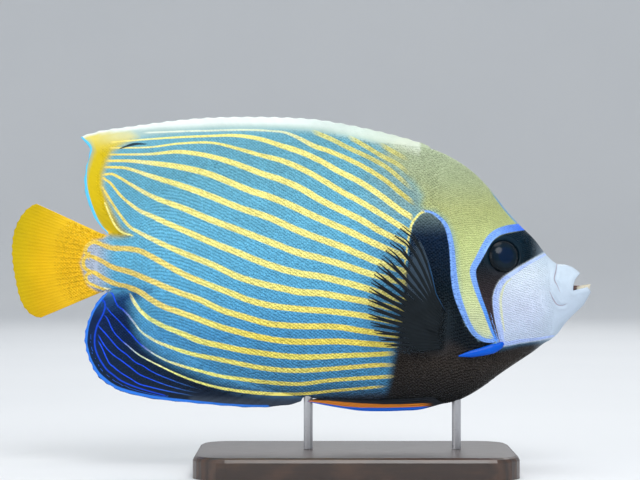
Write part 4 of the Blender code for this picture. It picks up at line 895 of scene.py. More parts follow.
def fin_grid(start, margin, stations, rays, scallop, branch, root_half, edge_half, ridge, taper=1.3):
    """A middle fin: its grid from root to margin, and its half thickness with the ridges of its rays."""
    r = stations[None, :, None]
    grid = start[:, None] * (1 - r) + margin[:, None] * r
    phase = np.linspace(0, 1, len(start))
    reach = np.linalg.norm(margin - start, axis=1, keepdims=True)
    between = 0.5 + 0.5 * np.cos(2 * math.pi * phase * rays)
    cut = np.minimum(scallop * between[:, None] / np.maximum(reach, 1.0), 0.2)
    grid = start[:, None] + (grid - start[:, None]) * (1 - cut[:, None] * stations[None, :, None] ** 6)
    r = stations[None, :]
    web = edge_half + (np.broadcast_to(root_half, len(start))[:, None] - edge_half) * (1 - r) ** taper
    raised = ray_height(phase[:, None], r, rays, np.broadcast_to(branch, len(start))[:, None])
    return grid, web + raised * ridge * (1 - 0.6 * r)


def back_fin_lines(count):
    share = even(count)
    front, rear = BACK_FIN_FOOT
    start = on_outline(back, rear, front)(0.42 * share + 0.58 * share**1.35)
    corner = count * 16 // 68
    rear_edge, top_edge = path(BACK_FIN_REAR), path(BACK_FIN_TOP)
    return start, np.concatenate([rear_edge(even(corner)), top_edge(even(count - corner)[1:])])


def anal_fin_lines(count):
    share = even(count)
    front, rear = ANAL_FIN_FOOT
    start = on_outline(belly, rear, front)(0.55 * share + 0.45 * share**1.4)
    corner = count * 24 // 40
    rear_edge, low_edge = path(ANAL_FIN_REAR), path(ANAL_FIN_LOW)
    return start, np.concatenate([rear_edge(even(corner)), low_edge(even(count - corner)[1:])])


def tail_lines(count):
    share = even(count)
    return path(TAIL_ROOT)(share), path(TAIL_MARGIN)(share)


def body_sheet(depth):
    """The right side: trunk, head, tail stalk, jaws and middle fins, sunk by the depth of the scales."""
    rows = body_rows()
    side = Sheet()

    def covered(grid):
        x, z = grid[..., 0], grid[..., 1]
        full = flank(x, z)
        return np.maximum(full + relief(x, z) - depth, np.minimum(0.6 * full, full - 0.05))

    trunk = patch(stalk_end, gill_line, on_outline(belly, PEDUNCLE_X, THROAT_X),
                  on_outline(back, PEDUNCLE_X, NAPE_X), even(TRUNK_COLUMNS), rows)
    head = patch(gill_line, jaw_seam, on_outline(belly, THROAT_X, CHIN_X),
                 on_outline(back, NAPE_X, SNOUT_TOP_X), even(HEAD_COLUMNS), rows)
    stalk = patch(path(TAIL_ROOT), stalk_end, on_outline(belly, TAIL_ROOT[0][0], PEDUNCLE_X),
                  on_outline(back, TAIL_ROOT[-1][0], PEDUNCLE_X), even(STALK_COLUMNS), rows)
    upper = upper_jaw_grid(crowded_high(HIGH_ROWS))
    lower = lower_jaw_grid(upper)
    trunk_at = side.grid(trunk, covered(trunk))
    side.grid(head, covered(head))
    stalk_at = side.grid(stalk, covered(stalk))
    side.grid(upper, covered(upper))
    side.grid(lower, covered(lower))
    lips = {side.add(*point, 1.0) for point in (*upper[-1, SEAM_ROWS:], *path(LOWER_LIP)(even(LIP_STEPS)))}

    def add_fin(lines, cut, rays, branch, root_half):
        """Adds a middle fin and returns the row of its first points."""
        out, along, notch, edge_half, ridge = cut
        start, margin = lines(along)
        stations = FIN_GAP + (1 - FIN_GAP) * even(out)
        root = root_half(*start.T) - depth * 0.4
        grid, half = fin_grid(start, margin, stations, rays, notch, branch, root, edge_half, ridge)
        return side.grid(grid, half)[:, 0]

    # Only the soft rays of the back fin's rear part branch
    soft = 1 - ease(even(BACK_FIN_MESH[1]), 0.55, 0.62)
    foot = add_fin(back_fin_lines, BACK_FIN_MESH, SPINES + BACK_RAYS, soft, lambda x, z: back_ridge(x))
    side.zip_rows(row_between(side, [*stalk_at[:, -1], *trunk_at[:, -1]], foot), foot)
    foot = add_fin(anal_fin_lines, ANAL_FIN_MESH, ANAL_RAYS, 1.0, lambda x, z: belly_ridge(x))
    side.zip_rows(row_between(side, [*stalk_at[:, 0], *trunk_at[:, 0]], foot), foot)
    foot = add_fin(tail_lines, TAIL_FIN_MESH, TAIL_RAYS, 1.0, flank)
    side.zip_rows(list(stalk_at[0]), foot)
    return side, lips


def row_between(side, row, other):
    """The part of a row that lies beside another row, each point once."""
    past = 0.6
    first, last = sorted(side.points[other[k]][0] for k in (0, -1))
    return [int(i) for i in dict.fromkeys(row) if first - past <= side.points[i][0] <= last + past]


def relief(x, z):
    """How far the head's plates, folds and rims stand above the smooth flank."""
    line = gill_line(even(200))
    ahead, _ = nearest_on(line[20:-40], x, z)
    ahead = -ahead
    upright = ease(z, 62, 72) * (1 - ease(z, 138, 150))
    plate = 0.55 * ease(ahead, -0.3, 0.5) * (1 - ease(ahead, 9, 20))
    groove = -0.4 * hump(ahead + 0.9, 0.7)
    made = np.where((x > 70) & (x < 125), (plate + groove) * upright, 0.0)
    cheek = inside_by(CHEEK, x, z)
    made = made + 0.45 * ease(cheek, -0.5, 0.6) * (1 - ease(x, 128, 142)) * ease(x, 100, 106)
    made = made - 0.25 * hump(cheek + 0.8, 0.6) * (1 - ease(x, 118, 128)) * ease(x, 100, 106)
    eye_away = np.hypot(x - EYE_AT[0], z - EYE_AT[1])
    made = made + 0.7 * hump(eye_away - 9.6, 1.5)
    made = made - 3.4 * (1 - ease(eye_away, 7.2, 8.7))
    for fold, deep in ((FOLD_1, 0.55), (FOLD_2, 0.5), (FOLD_3, 0.12)):
        away, share = nearest_on(steps_between(fold), x, z)
        taper = np.minimum(1, 6 * np.minimum(share, 1 - share))
        made = made - deep * hump(away, 0.7) * taper + 0.35 * hump(np.abs(away) - 1.7, 0.9) * taper
    lip, _ = nearest_on(steps_between([*UPPER_LIP[::-1], *LOWER_LIP[1:]]), x, z)
    made = made + 0.35 * hump(np.abs(lip) - 1.8, 1.4) * ease(x, 146, 150)
    base_away = np.hypot((x - FIN_BASE[0]) / 1.0, (z - FIN_BASE[1]) / 1.15)
    return made + 1.1 * (1 - ease(base_away, 2.0, 6.6))


# Materials


class Wires:
    """Short ways to place and join the nodes of one material or group."""

    def __init__(self, tree):
        self.tree = tree

    def node(self, kind, *given, **settings):
        made = self.tree.nodes.new(kind)
        for key, value in settings.items():
            setattr(made, key, value)
        for socket, value in zip(made.inputs, given):
            self.give(socket, value)
        return made

    def give(self, socket, value):
        if isinstance(value, bpy.types.NodeSocket):
            self.tree.links.new(value, socket)
        elif value is not None:
            socket.default_value = value

    def math(self, operation, *given, clamp=False):
        return self.node("ShaderNodeMath", *given, operation=operation, use_clamp=clamp).outputs[0]

    def mix(self, factor, one, two, blend="MIX"):
        made = self.tree.nodes.new("ShaderNodeMix")
        made.data_type, made.blend_type = "RGBA", blend
        for index, value in ((0, factor), (6, one), (7, two)):
            if isinstance(value, tuple) and len(value) == 3:
                value = (*value, 1.0)
            self.give(made.inputs[index], value)
        return made.outputs[2]

    def smooth(self, value, low, high, to_low=0.0, to_high=1.0):
        given = (value, low, high, to_low, to_high)
        made = self.node("ShaderNodeMapRange", *given, interpolation_type="SMOOTHSTEP")
        return made.outputs[0]

    def attribute(self, name, output="Fac"):
        return self.node("ShaderNodeAttribute", attribute_name=name).outputs[output]

    def place(self):
        return self.node("ShaderNodeTexCoord").outputs["Object"]

    def stretched(self, scale):
        """Object coordinates, stretched by a scale along each axis."""
        mapping = self.node("ShaderNodeMapping", self.place())
        mapping.inputs["Scale"].default_value = scale
        return mapping.outputs[0]

    def noise(self, vector, scale, detail=2.0, rough=0.5):
        made = self.node("ShaderNodeTexNoise")
        self.give(made.inputs["Vector"], vector)
        for name, value in (("Scale", scale), ("Detail", detail), ("Roughness", rough)):
            made.inputs[name].default_value = value
        return made.outputs[0]

    def cells(self, vector, scale, feature="F1"):
        made = self.node("ShaderNodeTexVoronoi", feature=feature)
        self.give(made.inputs["Vector"], vector)
        made.inputs["Scale"].default_value = scale
        return made.outputs["Distance"]

    def bump(self, height, strength, distance=0.0005):
        made = self.node("ShaderNodeBump")
        made.inputs["Strength"].default_value = strength
        made.inputs["Distance"].default_value = distance
        self.give(made.inputs["Height"], height)
        return made.outputs[0]


def new_material(name, **constants):
    """A material with its shader's own constant values set, its wires, and its shader."""
    made = bpy.data.materials.new(name)
    made.use_nodes = True
    shader = made.node_tree.nodes["Principled BSDF"]
    for key, value in constants.items():
        shader.inputs[key.replace("_", " ")].default_value = value
    return made, Wires(made.node_tree), shader


def markings_group():
    """Stripes, narrow lines and grounds, from the values stored with every point of skin and scales."""
    found = bpy.data.node_groups.get("Fish markings")
    if found:
        return found
    group = bpy.data.node_groups.new("Fish markings", "ShaderNodeTree")
    group.interface.new_socket("Color", in_out="OUTPUT", socket_type="NodeSocketColor")
    w = Wires(group)
    number = w.attribute("stripe")
    away = w.math("ABSOLUTE", w.math("SUBTRACT", number, w.math("ROUND", number)))
    wobble = w.math("MULTIPLY_ADD", w.noise(w.place(), 260.0), 0.05, -0.025)
    inside = w.math("SUBTRACT", w.math("ADD", w.attribute("width"), wobble), away)
    on_stripe = w.smooth(inside, -0.035, 0.035)
    line = w.math("SUBTRACT", w.attribute("reach"), w.math("ABSOLUTE", w.attribute("across")))
    on_line = w.smooth(line, -0.3, 0.3)
    colour = w.mix(on_stripe, w.attribute("ground", "Color"), w.attribute("mark", "Color"))
    colour = w.mix(on_line, colour, w.attribute("line", "Color"))
    cloud = w.noise(w.stretched((1.0, 1.0, 1.4)), 55.0, 4.0, 0.6)
    shade = w.math("MULTIPLY_ADD", cloud, 0.34, 0.83)
    colour = w.mix(1.0, colour, w.node("ShaderNodeCombineColor", shade, shade, shade).outputs[0], "MULTIPLY")
    out = group.nodes.new("NodeGroupOutput")
    group.links.new(colour, out.inputs["Color"])
    return group


def skin_material():
    made, w, shader = new_material("fish skin", Specular_IOR_Level=0.14, Coat_Weight=0.04)
    marks = w.node("ShaderNodeGroup", node_tree=markings_group())
    w.give(shader.inputs["Base Color"], marks.outputs["Color"])
    grain = w.noise(w.place(), 900.0, 3.0)
    pits = w.cells(w.stretched((1.0, 1.0, 1.5)), 900.0)
    w.give(shader.inputs["Roughness"], w.math("MULTIPLY_ADD", grain, 0.2, 0.38))
    w.give(shader.inputs["Normal"], w.bump(w.math("ADD", grain, w.math("MULTIPLY", pits, 0.6)), 0.25, 0.0004))
    return made


def scale_material():
    """The skin's markings on one small scale: its root lies in shade and its rim catches the light."""
    made, w, shader = new_material("fish scales", Specular_IOR_Level=0.14, Coat_Weight=0.03)
    marks = w.node("ShaderNodeGroup", node_tree=markings_group())
    lit = w.smooth(w.attribute("rim"), 0.1, 0.9, 0.87, 1.05)
    shade = w.math("MULTIPLY", lit, w.smooth(w.attribute("vary"), 0.0, 1.0, 0.88, 1.12))
    calm = w.smooth(w.attribute("ground"), 0.3, 0.65, 1.0, 0.3)
    shade = w.math("MULTIPLY_ADD", w.math("SUBTRACT", shade, 1.05), calm, 1.05)
    grey = w.node("ShaderNodeCombineColor", shade, shade, shade).outputs[0]
    w.give(shader.inputs["Base Color"], w.mix(1.0, marks.outputs["Color"], grey, "MULTIPLY"))
    grain = w.noise(w.place(), 1600.0, 2.0)
    w.give(shader.inputs["Roughness"], w.math("MULTIPLY_ADD", grain, 0.2, 0.3))
    w.give(shader.inputs["Normal"], w.bump(grain, 0.15, 0.0002))
    return made


def wood_material():
    """Dark stained wood under satin varnish, its grain along the base."""
    made, w, shader = new_material("stained wood", Coat_Weight=0.5, Coat_Roughness=0.2)
    along = w.stretched((1.0, 14.0, 14.0))
    rings = w.node("ShaderNodeTexWave", bands_direction="Y")
    w.give(rings.inputs["Vector"], w.stretched((0.25, 1.0, 0.6)))
    for name, value in (("Scale", 90.0), ("Distortion", 5.0), ("Detail", 3.0), ("Detail Scale", 1.5)):
        rings.inputs[name].default_value = value
    fibres = w.noise(along, 90.0, 6.0, 0.6)
    grain = w.math("MULTIPLY_ADD", rings.outputs["Fac"], 0.5, w.math("MULTIPLY", fibres, 0.6))
    colour = w.mix(w.smooth(grain, 0.1, 1.0), paint(44, 31, 25), paint(74, 51, 38))
    w.give(shader.inputs["Base Color"], colour)
    w.give(shader.inputs["Roughness"], w.math("MULTIPLY_ADD", fibres, 0.25, 0.3))
    w.give(shader.inputs["Normal"], w.bump(grain, 0.15, 0.0004))
    return made


def steel_material():
    """Brushed steel, its fine scratches round the rod."""
    made, w, shader = new_material("brushed rod", Metallic=1.0)
    brush = w.noise(w.stretched((1.0, 1.0, 40.0)), 160.0, 4.0)
    stain = w.noise(w.place(), 60.0, 3.0)
    w.give(shader.inputs["Base Color"], w.mix(stain, paint(176, 176, 180), paint(205, 205, 208)))
    w.give(shader.inputs["Roughness"], w.math("MULTIPLY_ADD", brush, 0.3, 0.18))
    w.give(shader.inputs["Normal"], w.bump(brush, 0.2, 0.0002))
    return made


# Pieces


def make_skin(depth):
    """One closed skin over the flesh and the middle fins, both sides, with the mouth's hollow in it."""
    side, lips = body_sheet(depth)
    points = np.array(side.points)
    count = len(points)
    faces = []
    for face in side.faces:
        p = points[face]
        x, z = p[:, 0], p[:, 1]
        turn = (x * np.roll(z, -1) - np.roll(x, -1) * z).sum()
        faces.append(face if turn > 0 else face[::-1])
    edges = {}
    for face in faces:
        for a, b in zip(face, face[1:] + face[:1]):
            edges[(a, b)] = edges.get((a, b), 0) + 1
    rim = [(a, b) for (a, b) in edges if (b, a) not in edges]
    right = np.stack([points[:, 0], -points[:, 2], points[:, 1]], -1)
    left = np.stack([points[:, 0], points[:, 2], points[:, 1]], -1)
    solid = [right, left]
    closed = list(faces) + [[i + count for i in face[::-1]] for face in faces]
    outward = np.zeros((count, 2))
    for a, b in rim:
        along = points[b, :2] - points[a, :2]
        outward[a] += (along[1], -along[0])
        outward[b] += (along[1], -along[0])
    size = np.linalg.norm(outward, axis=1, keepdims=True)
    outward = outward / np.maximum(size, 1e-9)
    number, columns, inner = 2 * count, {}, []
    for i in sorted({i for edge in rim for i in edge}):
        column = wall_column(points[i], outward[i], i in lips)
        columns[i] = list(range(number, number + len(column)))
        if i in lips:
            inner += columns[i][3:-3]
        number += len(column)
        solid.append(column)
    for a, b in rim:
        first, second = [a, *columns[a], a + count], [b, *columns[b], b + count]
        if len(first) == len(second):
            closed += [[first[k], first[k + 1], second[k + 1], second[k]] for k in range(len(first) - 1)]
        else:
            closed.append([*first, *second[::-1]])
    return mesh_piece("skin", np.concatenate(solid), closed, skin_material(), 60), inner


def wall_column(point, outward, lip):
    """Points from the right side to the left over the edge of the sheet. At the lips they line the mouth."""
    x, z, half = point
    if not lip:
        out = outward * min(0.35, half * 0.5)
        return np.array([(x + out[0], 0.0, z + out[1])])
    inward = np.array((x - MOUTH_MIDDLE[0], z - MOUTH_MIDDLE[1]))
    inward /= np.linalg.norm(inward)
    room = float(back(x)) - z if z > MOUTH_CORNER[1] + 1.9 else z - float(belly(x))
    deep = min(1.2 + 6.5 * max(0.0, -inward[0]) ** 1.5, 0.4 * max(room, 0.2))
    hollow = min(3.6, 0.72 * half)
    shape = ((0.93, -0.25), (0.82, -0.38), (0.74, -0.2), (0.71, 0.35), (0.62, 0.8), (0.32, 0.97))
    rows = [(half * w if k < 3 else hollow / 0.72 * w, d) for k, (w, d) in enumerate(shape)]
    rows = rows + [(0.0, 1.0)] + [(-w, d) for w, d in rows[::-1]]
    made = []
    for y, share in rows:
        into = share * deep if share > 0 else share
        made.append((x + inward[0] * into, -y, z + inward[1] * into))
    return np.array(made)


# One scale lies along X with its free end at +X. All of it is in shares of its half width
SCALE_RIM = (
    (-1.05, 0.45), (0.0, 0.98), (0.72, 0.66), (1.0, 0.0), (0.72, -0.66), (0.0, -0.98), (-1.05, -0.45),
)
SCALE_ROOT_LOW, SCALE_EDGE_HIGH = -0.16, 0.17
SCALE_MIDDLES = ((0.15, 0.0, 0.17), (0.1, 0.0, -0.12))  # above and below
UNWRAP_PATCH = 0.0015  # half of the room that one scale gets in the unwrap
UNWRAP_MARGIN = 0.015  # round the whole unwrap


def scale_template():
    """One closed scale of unit half width, 14 faces, lying in the XY plane."""
    points, rims = [], []
    root = SCALE_RIM[0][0]
    for x, y in SCALE_RIM:
        share = (x - root) / (1 - root)
        points.append((x, y, SCALE_ROOT_LOW + (SCALE_EDGE_HIGH - SCALE_ROOT_LOW) * share))
        rims.append(share)
    points += SCALE_MIDDLES
    rims += [0.62, 0.2]
    count = len(SCALE_RIM)
    faces = []
    for j in range(count):
        k = (j + 1) % count
        faces += [(count, k, j), (count + 1, j, k)]
    mesh = bpy.data.meshes.new("one scale")
    mesh.from_pydata((np.array(points) * MM).tolist(), [], faces)
    mesh.shade_smooth()
    write_values(mesh, "rim", rims)
    return in_scene("one scale", mesh)


def seat_nodes():
    """Geometry Nodes that set one small shape on every seat, turned and sized by the seat's own values."""
    tree = bpy.data.node_groups.get("Shapes on seats")
    if tree:
        return tree
    tree = bpy.data.node_groups.new("Shapes on seats", "GeometryNodeTree")
    for name, kind in (
        ("Geometry", "Geometry"), ("Scale", "Object"), ("Material", "Material"),
        ("Tilt", "Float"), ("Seed", "Int"),
    ):
        tree.interface.new_socket(name, in_out="INPUT", socket_type="NodeSocket" + kind)
    tree.interface.new_socket("Geometry", in_out="OUTPUT", socket_type="NodeSocketGeometry")
    w = Wires(tree)
    given = w.node("NodeGroupInput").outputs
    shape = w.node("GeometryNodeObjectInfo", given["Scale"]).outputs["Geometry"]
    turn, size = (
        w.node("GeometryNodeInputNamedAttribute", name, data_type=kind).outputs["Attribute"]
        for name, kind in (("turn", "FLOAT_VECTOR"), ("size", "FLOAT"))
    )
    place = w.node("GeometryNodeInstanceOnPoints")
    for name, value in (
        ("Points", given["Geometry"]), ("Instance", shape), ("Scale", size),
        ("Rotation", w.node("FunctionNodeEulerToRotation", turn).outputs[0]),
    ):
        w.give(place.inputs[name], value)
    # A small chance turn, as strong as the tilt to either side
    chance = w.node("FunctionNodeRandomValue", data_type="FLOAT_VECTOR")
    for name, sign in (("Min", -1.0), ("Max", 1.0)):
        limit = w.node("ShaderNodeVectorMath", (sign, sign, sign), operation="SCALE")
        w.give(limit.inputs["Scale"], given["Tilt"])
        w.give(chance.inputs[name], limit.outputs[0])
    w.give(chance.inputs["Seed"], given["Seed"])
    rotate = w.node("GeometryNodeRotateInstances", place.outputs[0])
    shake = w.node("FunctionNodeEulerToRotation", chance.outputs["Value"])
    w.give(rotate.inputs["Rotation"], shake.outputs[0])
    real = w.node("GeometryNodeRealizeInstances", rotate.outputs[0])
    finish = w.node("GeometryNodeSetMaterial", real.outputs[0])
    w.give(finish.inputs["Material"], given["Material"])
    w.node("NodeGroupOutput", finish.outputs[0])
    return tree


def run_nodes(source, tree, values, name):
    """The plain mesh that the tree makes of the source, as a new object. The source is removed."""
    step = source.modifiers.new("nodes", "NODES")
    step.node_group = tree
    for item in tree.interface.items_tree:
        if item.in_out == "INPUT" and item.name in values:
            step[item.identifier] = values[item.name]
    bpy.context.view_layer.update()
    mesh = bpy.data.meshes.new_from_object(source.evaluated_get(bpy.context.evaluated_depsgraph_get()))
    source.modifiers.remove(step)
    bpy.data.objects.remove(source)
    mesh.name = name
    return in_scene(name, mesh)


def set_on_seats(name, places, turns, sizes, values):
    """A plain mesh of copies of one small shape, one on each seat."""
    mesh = bpy.data.meshes.new(name + " seats")
    mesh.from_pydata((np.array(places) * MM).tolist(), [], [])
    turn = mesh.attributes.new("turn", "FLOAT_VECTOR", "POINT")
    turn.data.foreach_set("vector", np.array(turns, np.float32).ravel())
    write_values(mesh, "size", sizes)
    made = run_nodes(in_scene(name + " seats", mesh), seat_nodes(), values, name)
    for spare in ("turn", "size"):
        if spare in made.data.attributes:
            made.data.attributes.remove(made.data.attributes[spare])
    return made


def columns_of_seats(first, last, step, pitch, above_belly):
    """Seats in upright columns over the body, every other one shifted by half the pitch, spaced evenly along
    the skin's own arc."""
    xs, zs, arcs = [], [], []
    for k, x in enumerate(np.arange(first, last, step)):
        bottom, top = float(belly(x) + above_belly), float(back(x) - 0.2)
        if top - bottom < 0.5:
            continue
        z = np.linspace(top, bottom, max(12, int((top - bottom) * 4)))
        y = flank(np.full_like(z, x), z)
        run = np.concatenate([[0], np.cumsum(np.hypot(np.diff(z), np.diff(y)))])
        stops = np.arange(0.3 + (k % 2) * pitch / 2, run[-1], pitch)
        zs.append(np.interp(stops, run, z))
        xs.append(np.full(len(stops), x))
        arcs.append(stops)
    return np.concatenate(xs), np.concatenate(zs), np.concatenate(arcs)


def flank_seats(size):
    x, z, arc = columns_of_seats(-111.5, THROAT_X, 0.58 * size, size, 0.25)
    ahead, _ = nearest_on(gill_line(even(160)), x, z)
    kept = ahead > 0.5 * (1 - ease(z, 134, 142))
    lie = (z - 108) / 60 * math.radians(12)
    # Smaller round the breast fin's root, so that they don't fringe it
    root_away, _ = nearest_on(steps_between(PECTORAL_FOOT), x, z)
    half = size / 2 * (1 - 0.6 * hump(root_away, 2.6))
    return x[kept], z[kept], arc[kept], lie[kept], half[kept]


def head_seats(size):
    x, z, arc = columns_of_seats(73, 143.5, 0.62 * size, size, 0.3)
    ahead, _ = nearest_on(gill_line(even(160)), x, z)
    kept = (ahead < -0.3 * (1 - ease(z, 134, 142))) & (np.hypot(x - EYE_AT[0], z - EYE_AT[1]) > 11.2)
    bare = 139.5 - 0.12 * np.abs(z - 88)
    kept &= x < bare
    for at_x, at_z, _ in NOSTRILS:
        kept &= np.hypot(x - at_x, z - at_z) > 2.2
    for fold in (FOLD_1, FOLD_2, FOLD_3):
        away, _ = nearest_on(steps_between(fold), x, z)
        kept &= np.abs(away) > 0.8
    cheek = inside_by(CHEEK, x, z)
    half = size / 2 * np.where(cheek > 0, 1.05, 1.0) * (1 - 0.4 * ease(x, 126, 140))
    lie = (z - 108) / 60 * math.radians(14)
    return x[kept], z[kept], arc[kept], lie[kept], half[kept]


def fin_seats(size):
    """Seats on the scaly lower part of the middle fins, lying along their rays."""
    found = []
    for lines, bare_margin, reach in (
        (back_fin_lines, 6.5, 0.8), (anal_fin_lines, 7.0, 0.78), (tail_lines, 0.0, 0.5),
    ):
        start, margin = lines(60)
        outline = np.concatenate([start, margin[::-1]])
        low, high = outline.min(axis=0), outline.max(axis=0)
        columns, rows = np.arange(low[0], high[0], 0.56 * size), np.arange(low[1], high[1], size)
        x, z = np.array([(x, z + (k % 2) * size / 2) for k, x in enumerate(columns) for z in rows]).T
        away, share = nearest_line(start, margin, x, z)
        kept = (inside_by(outline, x, z) > 0.4) & (share < reach)
        margin_away, _ = nearest_on(margin, x, z)
        kept &= np.abs(margin_away) > bare_margin
        x, z, share, away = x[kept], z[kept], share[kept], away[kept]
        direction = (margin - start)[away]
        direction = direction / np.linalg.norm(direction, axis=1, keepdims=True) + np.array((-0.9, 0.0))
        lie = np.arctan2(direction[:, 1], -direction[:, 0])
        half = size / 2 * (1 - 0.45 * ease(share, 0.3, reach))
        found.append((x, z, z * 1.0, lie, half))
    return tuple(np.concatenate(c) for c in zip(*found))


def nearest_line(start, margin, x, z):
    """Which line from start to margin lies nearest to each point, and how far along it the point is."""
    best, which, share = np.full(x.shape, 1e9), np.zeros(x.shape, int), np.zeros(x.shape)
    for k, (a, b) in enumerate(zip(start, margin)):
        along = b - a
        t = np.clip(((x - a[0]) * along[0] + (z - a[1]) * along[1]) / (along @ along), 0, 1)
        away = np.hypot(x - a[0] - t * along[0], z - a[1] - t * along[1])
        closer = away < best
        best[closer], which[closer], share[closer] = away[closer], k, t[closer]
    return which, share


def make_coat(name, seats, surface, template, look, seed, tilt):
    """Sets one scale on each seat of the right side and gives the coat its unwrap and its markings."""
    x, z, arc, lie, half = seats
    chance = np.random.default_rng(seed)
    x = x + chance.uniform(-0.3, 0.3, len(x)) * half
    z = z + chance.uniform(-0.36, 0.36, len(z)) * half
    half = half * chance.uniform(0.94, 1.08, len(half))
    width = flank(x, z)
    places, turns, sizes, keys = [], [], [], []
    for k in range(len(x)):
        at, out, _, away = surface.find_nearest(Vector((x[k], -max(width[k], 0.6), z[k])))
        # None where the skin is far away or turns to the other side
        if at is None or away > 2.5 or out.y > 0.35:
            continue
        back_along = Vector((-math.cos(lie[k]), 0.0, math.sin(lie[k])))
        along = back_along - out * back_along.dot(out)
        if along.length < 0.2:
            continue
        along.normalize()
        turn = Matrix((along, out.cross(along), out)).transposed()
        places.append(at)
        turns.append(turn.to_euler())
        sizes.append(half[k])
        keys.append(k)
    keys = np.array(keys)
    values = {"Scale": template, "Material": look, "Tilt": tilt, "Seed": seed}
    coat = set_on_seats(name, places, turns, sizes, values)
    each = len(template.data.vertices)
    write_values(coat.data, "vary", np.repeat(chance.uniform(0, 1, len(keys)), each))
    shape = np.array([v.co[:2] for v in template.data.vertices]) / MM
    unwrap(coat.data, x[keys], arc[keys], np.tile(shape, (len(keys), 1)), each)
    write_markings(coat.data)
    return coat


def unwrap(mesh, x, arc, shape, each):
    """The UV map OFBake: every scale is a small patch at its root's place on the unrolled skin."""
    span = max(np.ptp(x), np.ptp(arc)) / 0.97
    root = np.stack([(x - x.min()) / span, (arc - arc.min()) / span], -1) + UNWRAP_MARGIN
    at = np.repeat(root, each, axis=0) + shape * UNWRAP_PATCH
    corner = np.empty(len(mesh.loops), np.int32)
    mesh.loops.foreach_get("vertex_index", corner)
    layer = mesh.uv_layers.new(name="OFBake")
    layer.data.foreach_set("uv", at[corner].astype(np.float32).ravel())


def make_scales(settings):
    """Coats of small scales over flank, head and middle fins, the left side mirrored from the right."""
    skin = bpy.data.objects["skin"]
    points = [Vector(p) for p in side_points(skin.data)]
    surface = BVHTree.FromPolygons(points, [tuple(f.vertices) for f in skin.data.polygons])
    template, look = scale_template(), scale_material()
    size = settings.scale_width / MM
    coats = []
    for name, seats, seed, tilt in (
        ("scales_flank", flank_seats(size), 11, 1.0), ("scales_head", head_seats(size * 0.66), 12, 1.0),
        ("scales_fins", fin_seats(size * 0.86), 13, 0.4),
    ):
        tilt *= settings.scale_tilt
        coat = make_coat(name + "_right", seats, surface, template, look, seed, tilt)
        coats += [coat, mirror_piece(coat, name + "_left")]
    bpy.data.objects.remove(template)
    return coats


def shell(name, middle, half, across, look):
    """A closed solid: two faces either side of a grid of points, joined round the edge by a rounded wall."""
    a, b = middle.shape[:2]
    offset = half[..., None] * across
    one, two = (middle + offset).reshape(-1, 3), (middle - offset).reshape(-1, 3)
    index = np.arange(a * b).reshape(a, b)
    faces = grid_faces(index)
    ring = np.concatenate([index[:-1, 0], index[-1, :-1], index[:0:-1, -1], index[0, :0:-1]])
    centre = middle.reshape(-1, 3)[ring]
    inner = middle[1:-1, 1:-1].reshape(-1, 3).mean(axis=0)
    ahead = np.roll(centre, -1, axis=0) - np.roll(centre, 1, axis=0)
    normal = np.broadcast_to(across, middle.shape).reshape(-1, 3)[ring]
    out = np.cross(ahead, normal)
    out /= np.maximum(np.linalg.norm(out, axis=1, keepdims=True), 1e-9)
    out *= np.sign(((centre - inner) * out).sum(axis=1, keepdims=True))
    rim = centre + out * np.minimum(half.reshape(-1)[ring], 0.15)[:, None]
    points = np.concatenate([one, two, rim])
    count, after = a * b, np.roll(ring, -1)
    own, own_after = 2 * count + np.arange(len(ring)), 2 * count + np.roll(np.arange(len(ring)), -1)
    wall = np.concatenate([
        np.stack([ring, own, own_after, after], 1),
        np.stack([own, ring + count, after + count, own_after], 1),
    ])
    quads = np.concatenate([faces, faces[:, ::-1] + count, wall])
    tri = np.concatenate([quads[:, :3], quads[:, (0, 2, 3)]])
    if np.linalg.det(points[tri]).sum() < 0:
        quads = quads[:, ::-1]
    return mesh_piece(name, points, quads, look, 70), np.concatenate([np.arange(count)] * 2 + [ring])


def on_plane(grid, y):
    return np.stack([grid[..., 0], np.broadcast_to(y, grid.shape[:-1]), grid[..., 1]], axis=-1)


def grid_normals(grid):
    normal = np.cross(np.gradient(grid, axis=0), np.gradient(grid, axis=1))
    return normal / np.linalg.norm(normal, axis=-1, keepdims=True)


def pectoral_material():
    """Black at the root, then fine dark rays over a clear web, with a bluish front edge."""
    made, w, shader = new_material("breast fin", Specular_IOR_Level=0.15, Roughness=0.5)
    on_ray = w.smooth(w.attribute("ray"), -0.05, 0.05)
    cloud = w.noise(w.place(), 160.0, 3.0)
    dark = w.mix(cloud, paint(10, 18, 22), paint(26, 34, 40))
    colour = w.mix(on_ray, w.mix(cloud, paint(44, 58, 72), paint(66, 84, 100)), dark)
    colour = w.mix(w.attribute("front"), colour, paint(36, 96, 150))
    w.give(shader.inputs["Base Color"], colour)
    solid = w.math("MAXIMUM", w.attribute("web"), on_ray)
    w.give(shader.inputs["Alpha"], w.math("MULTIPLY", solid, w.attribute("root"), clamp=True))
    w.give(shader.inputs["Normal"], w.bump(w.noise(w.place(), 700.0), 0.2, 0.0003))
    return made


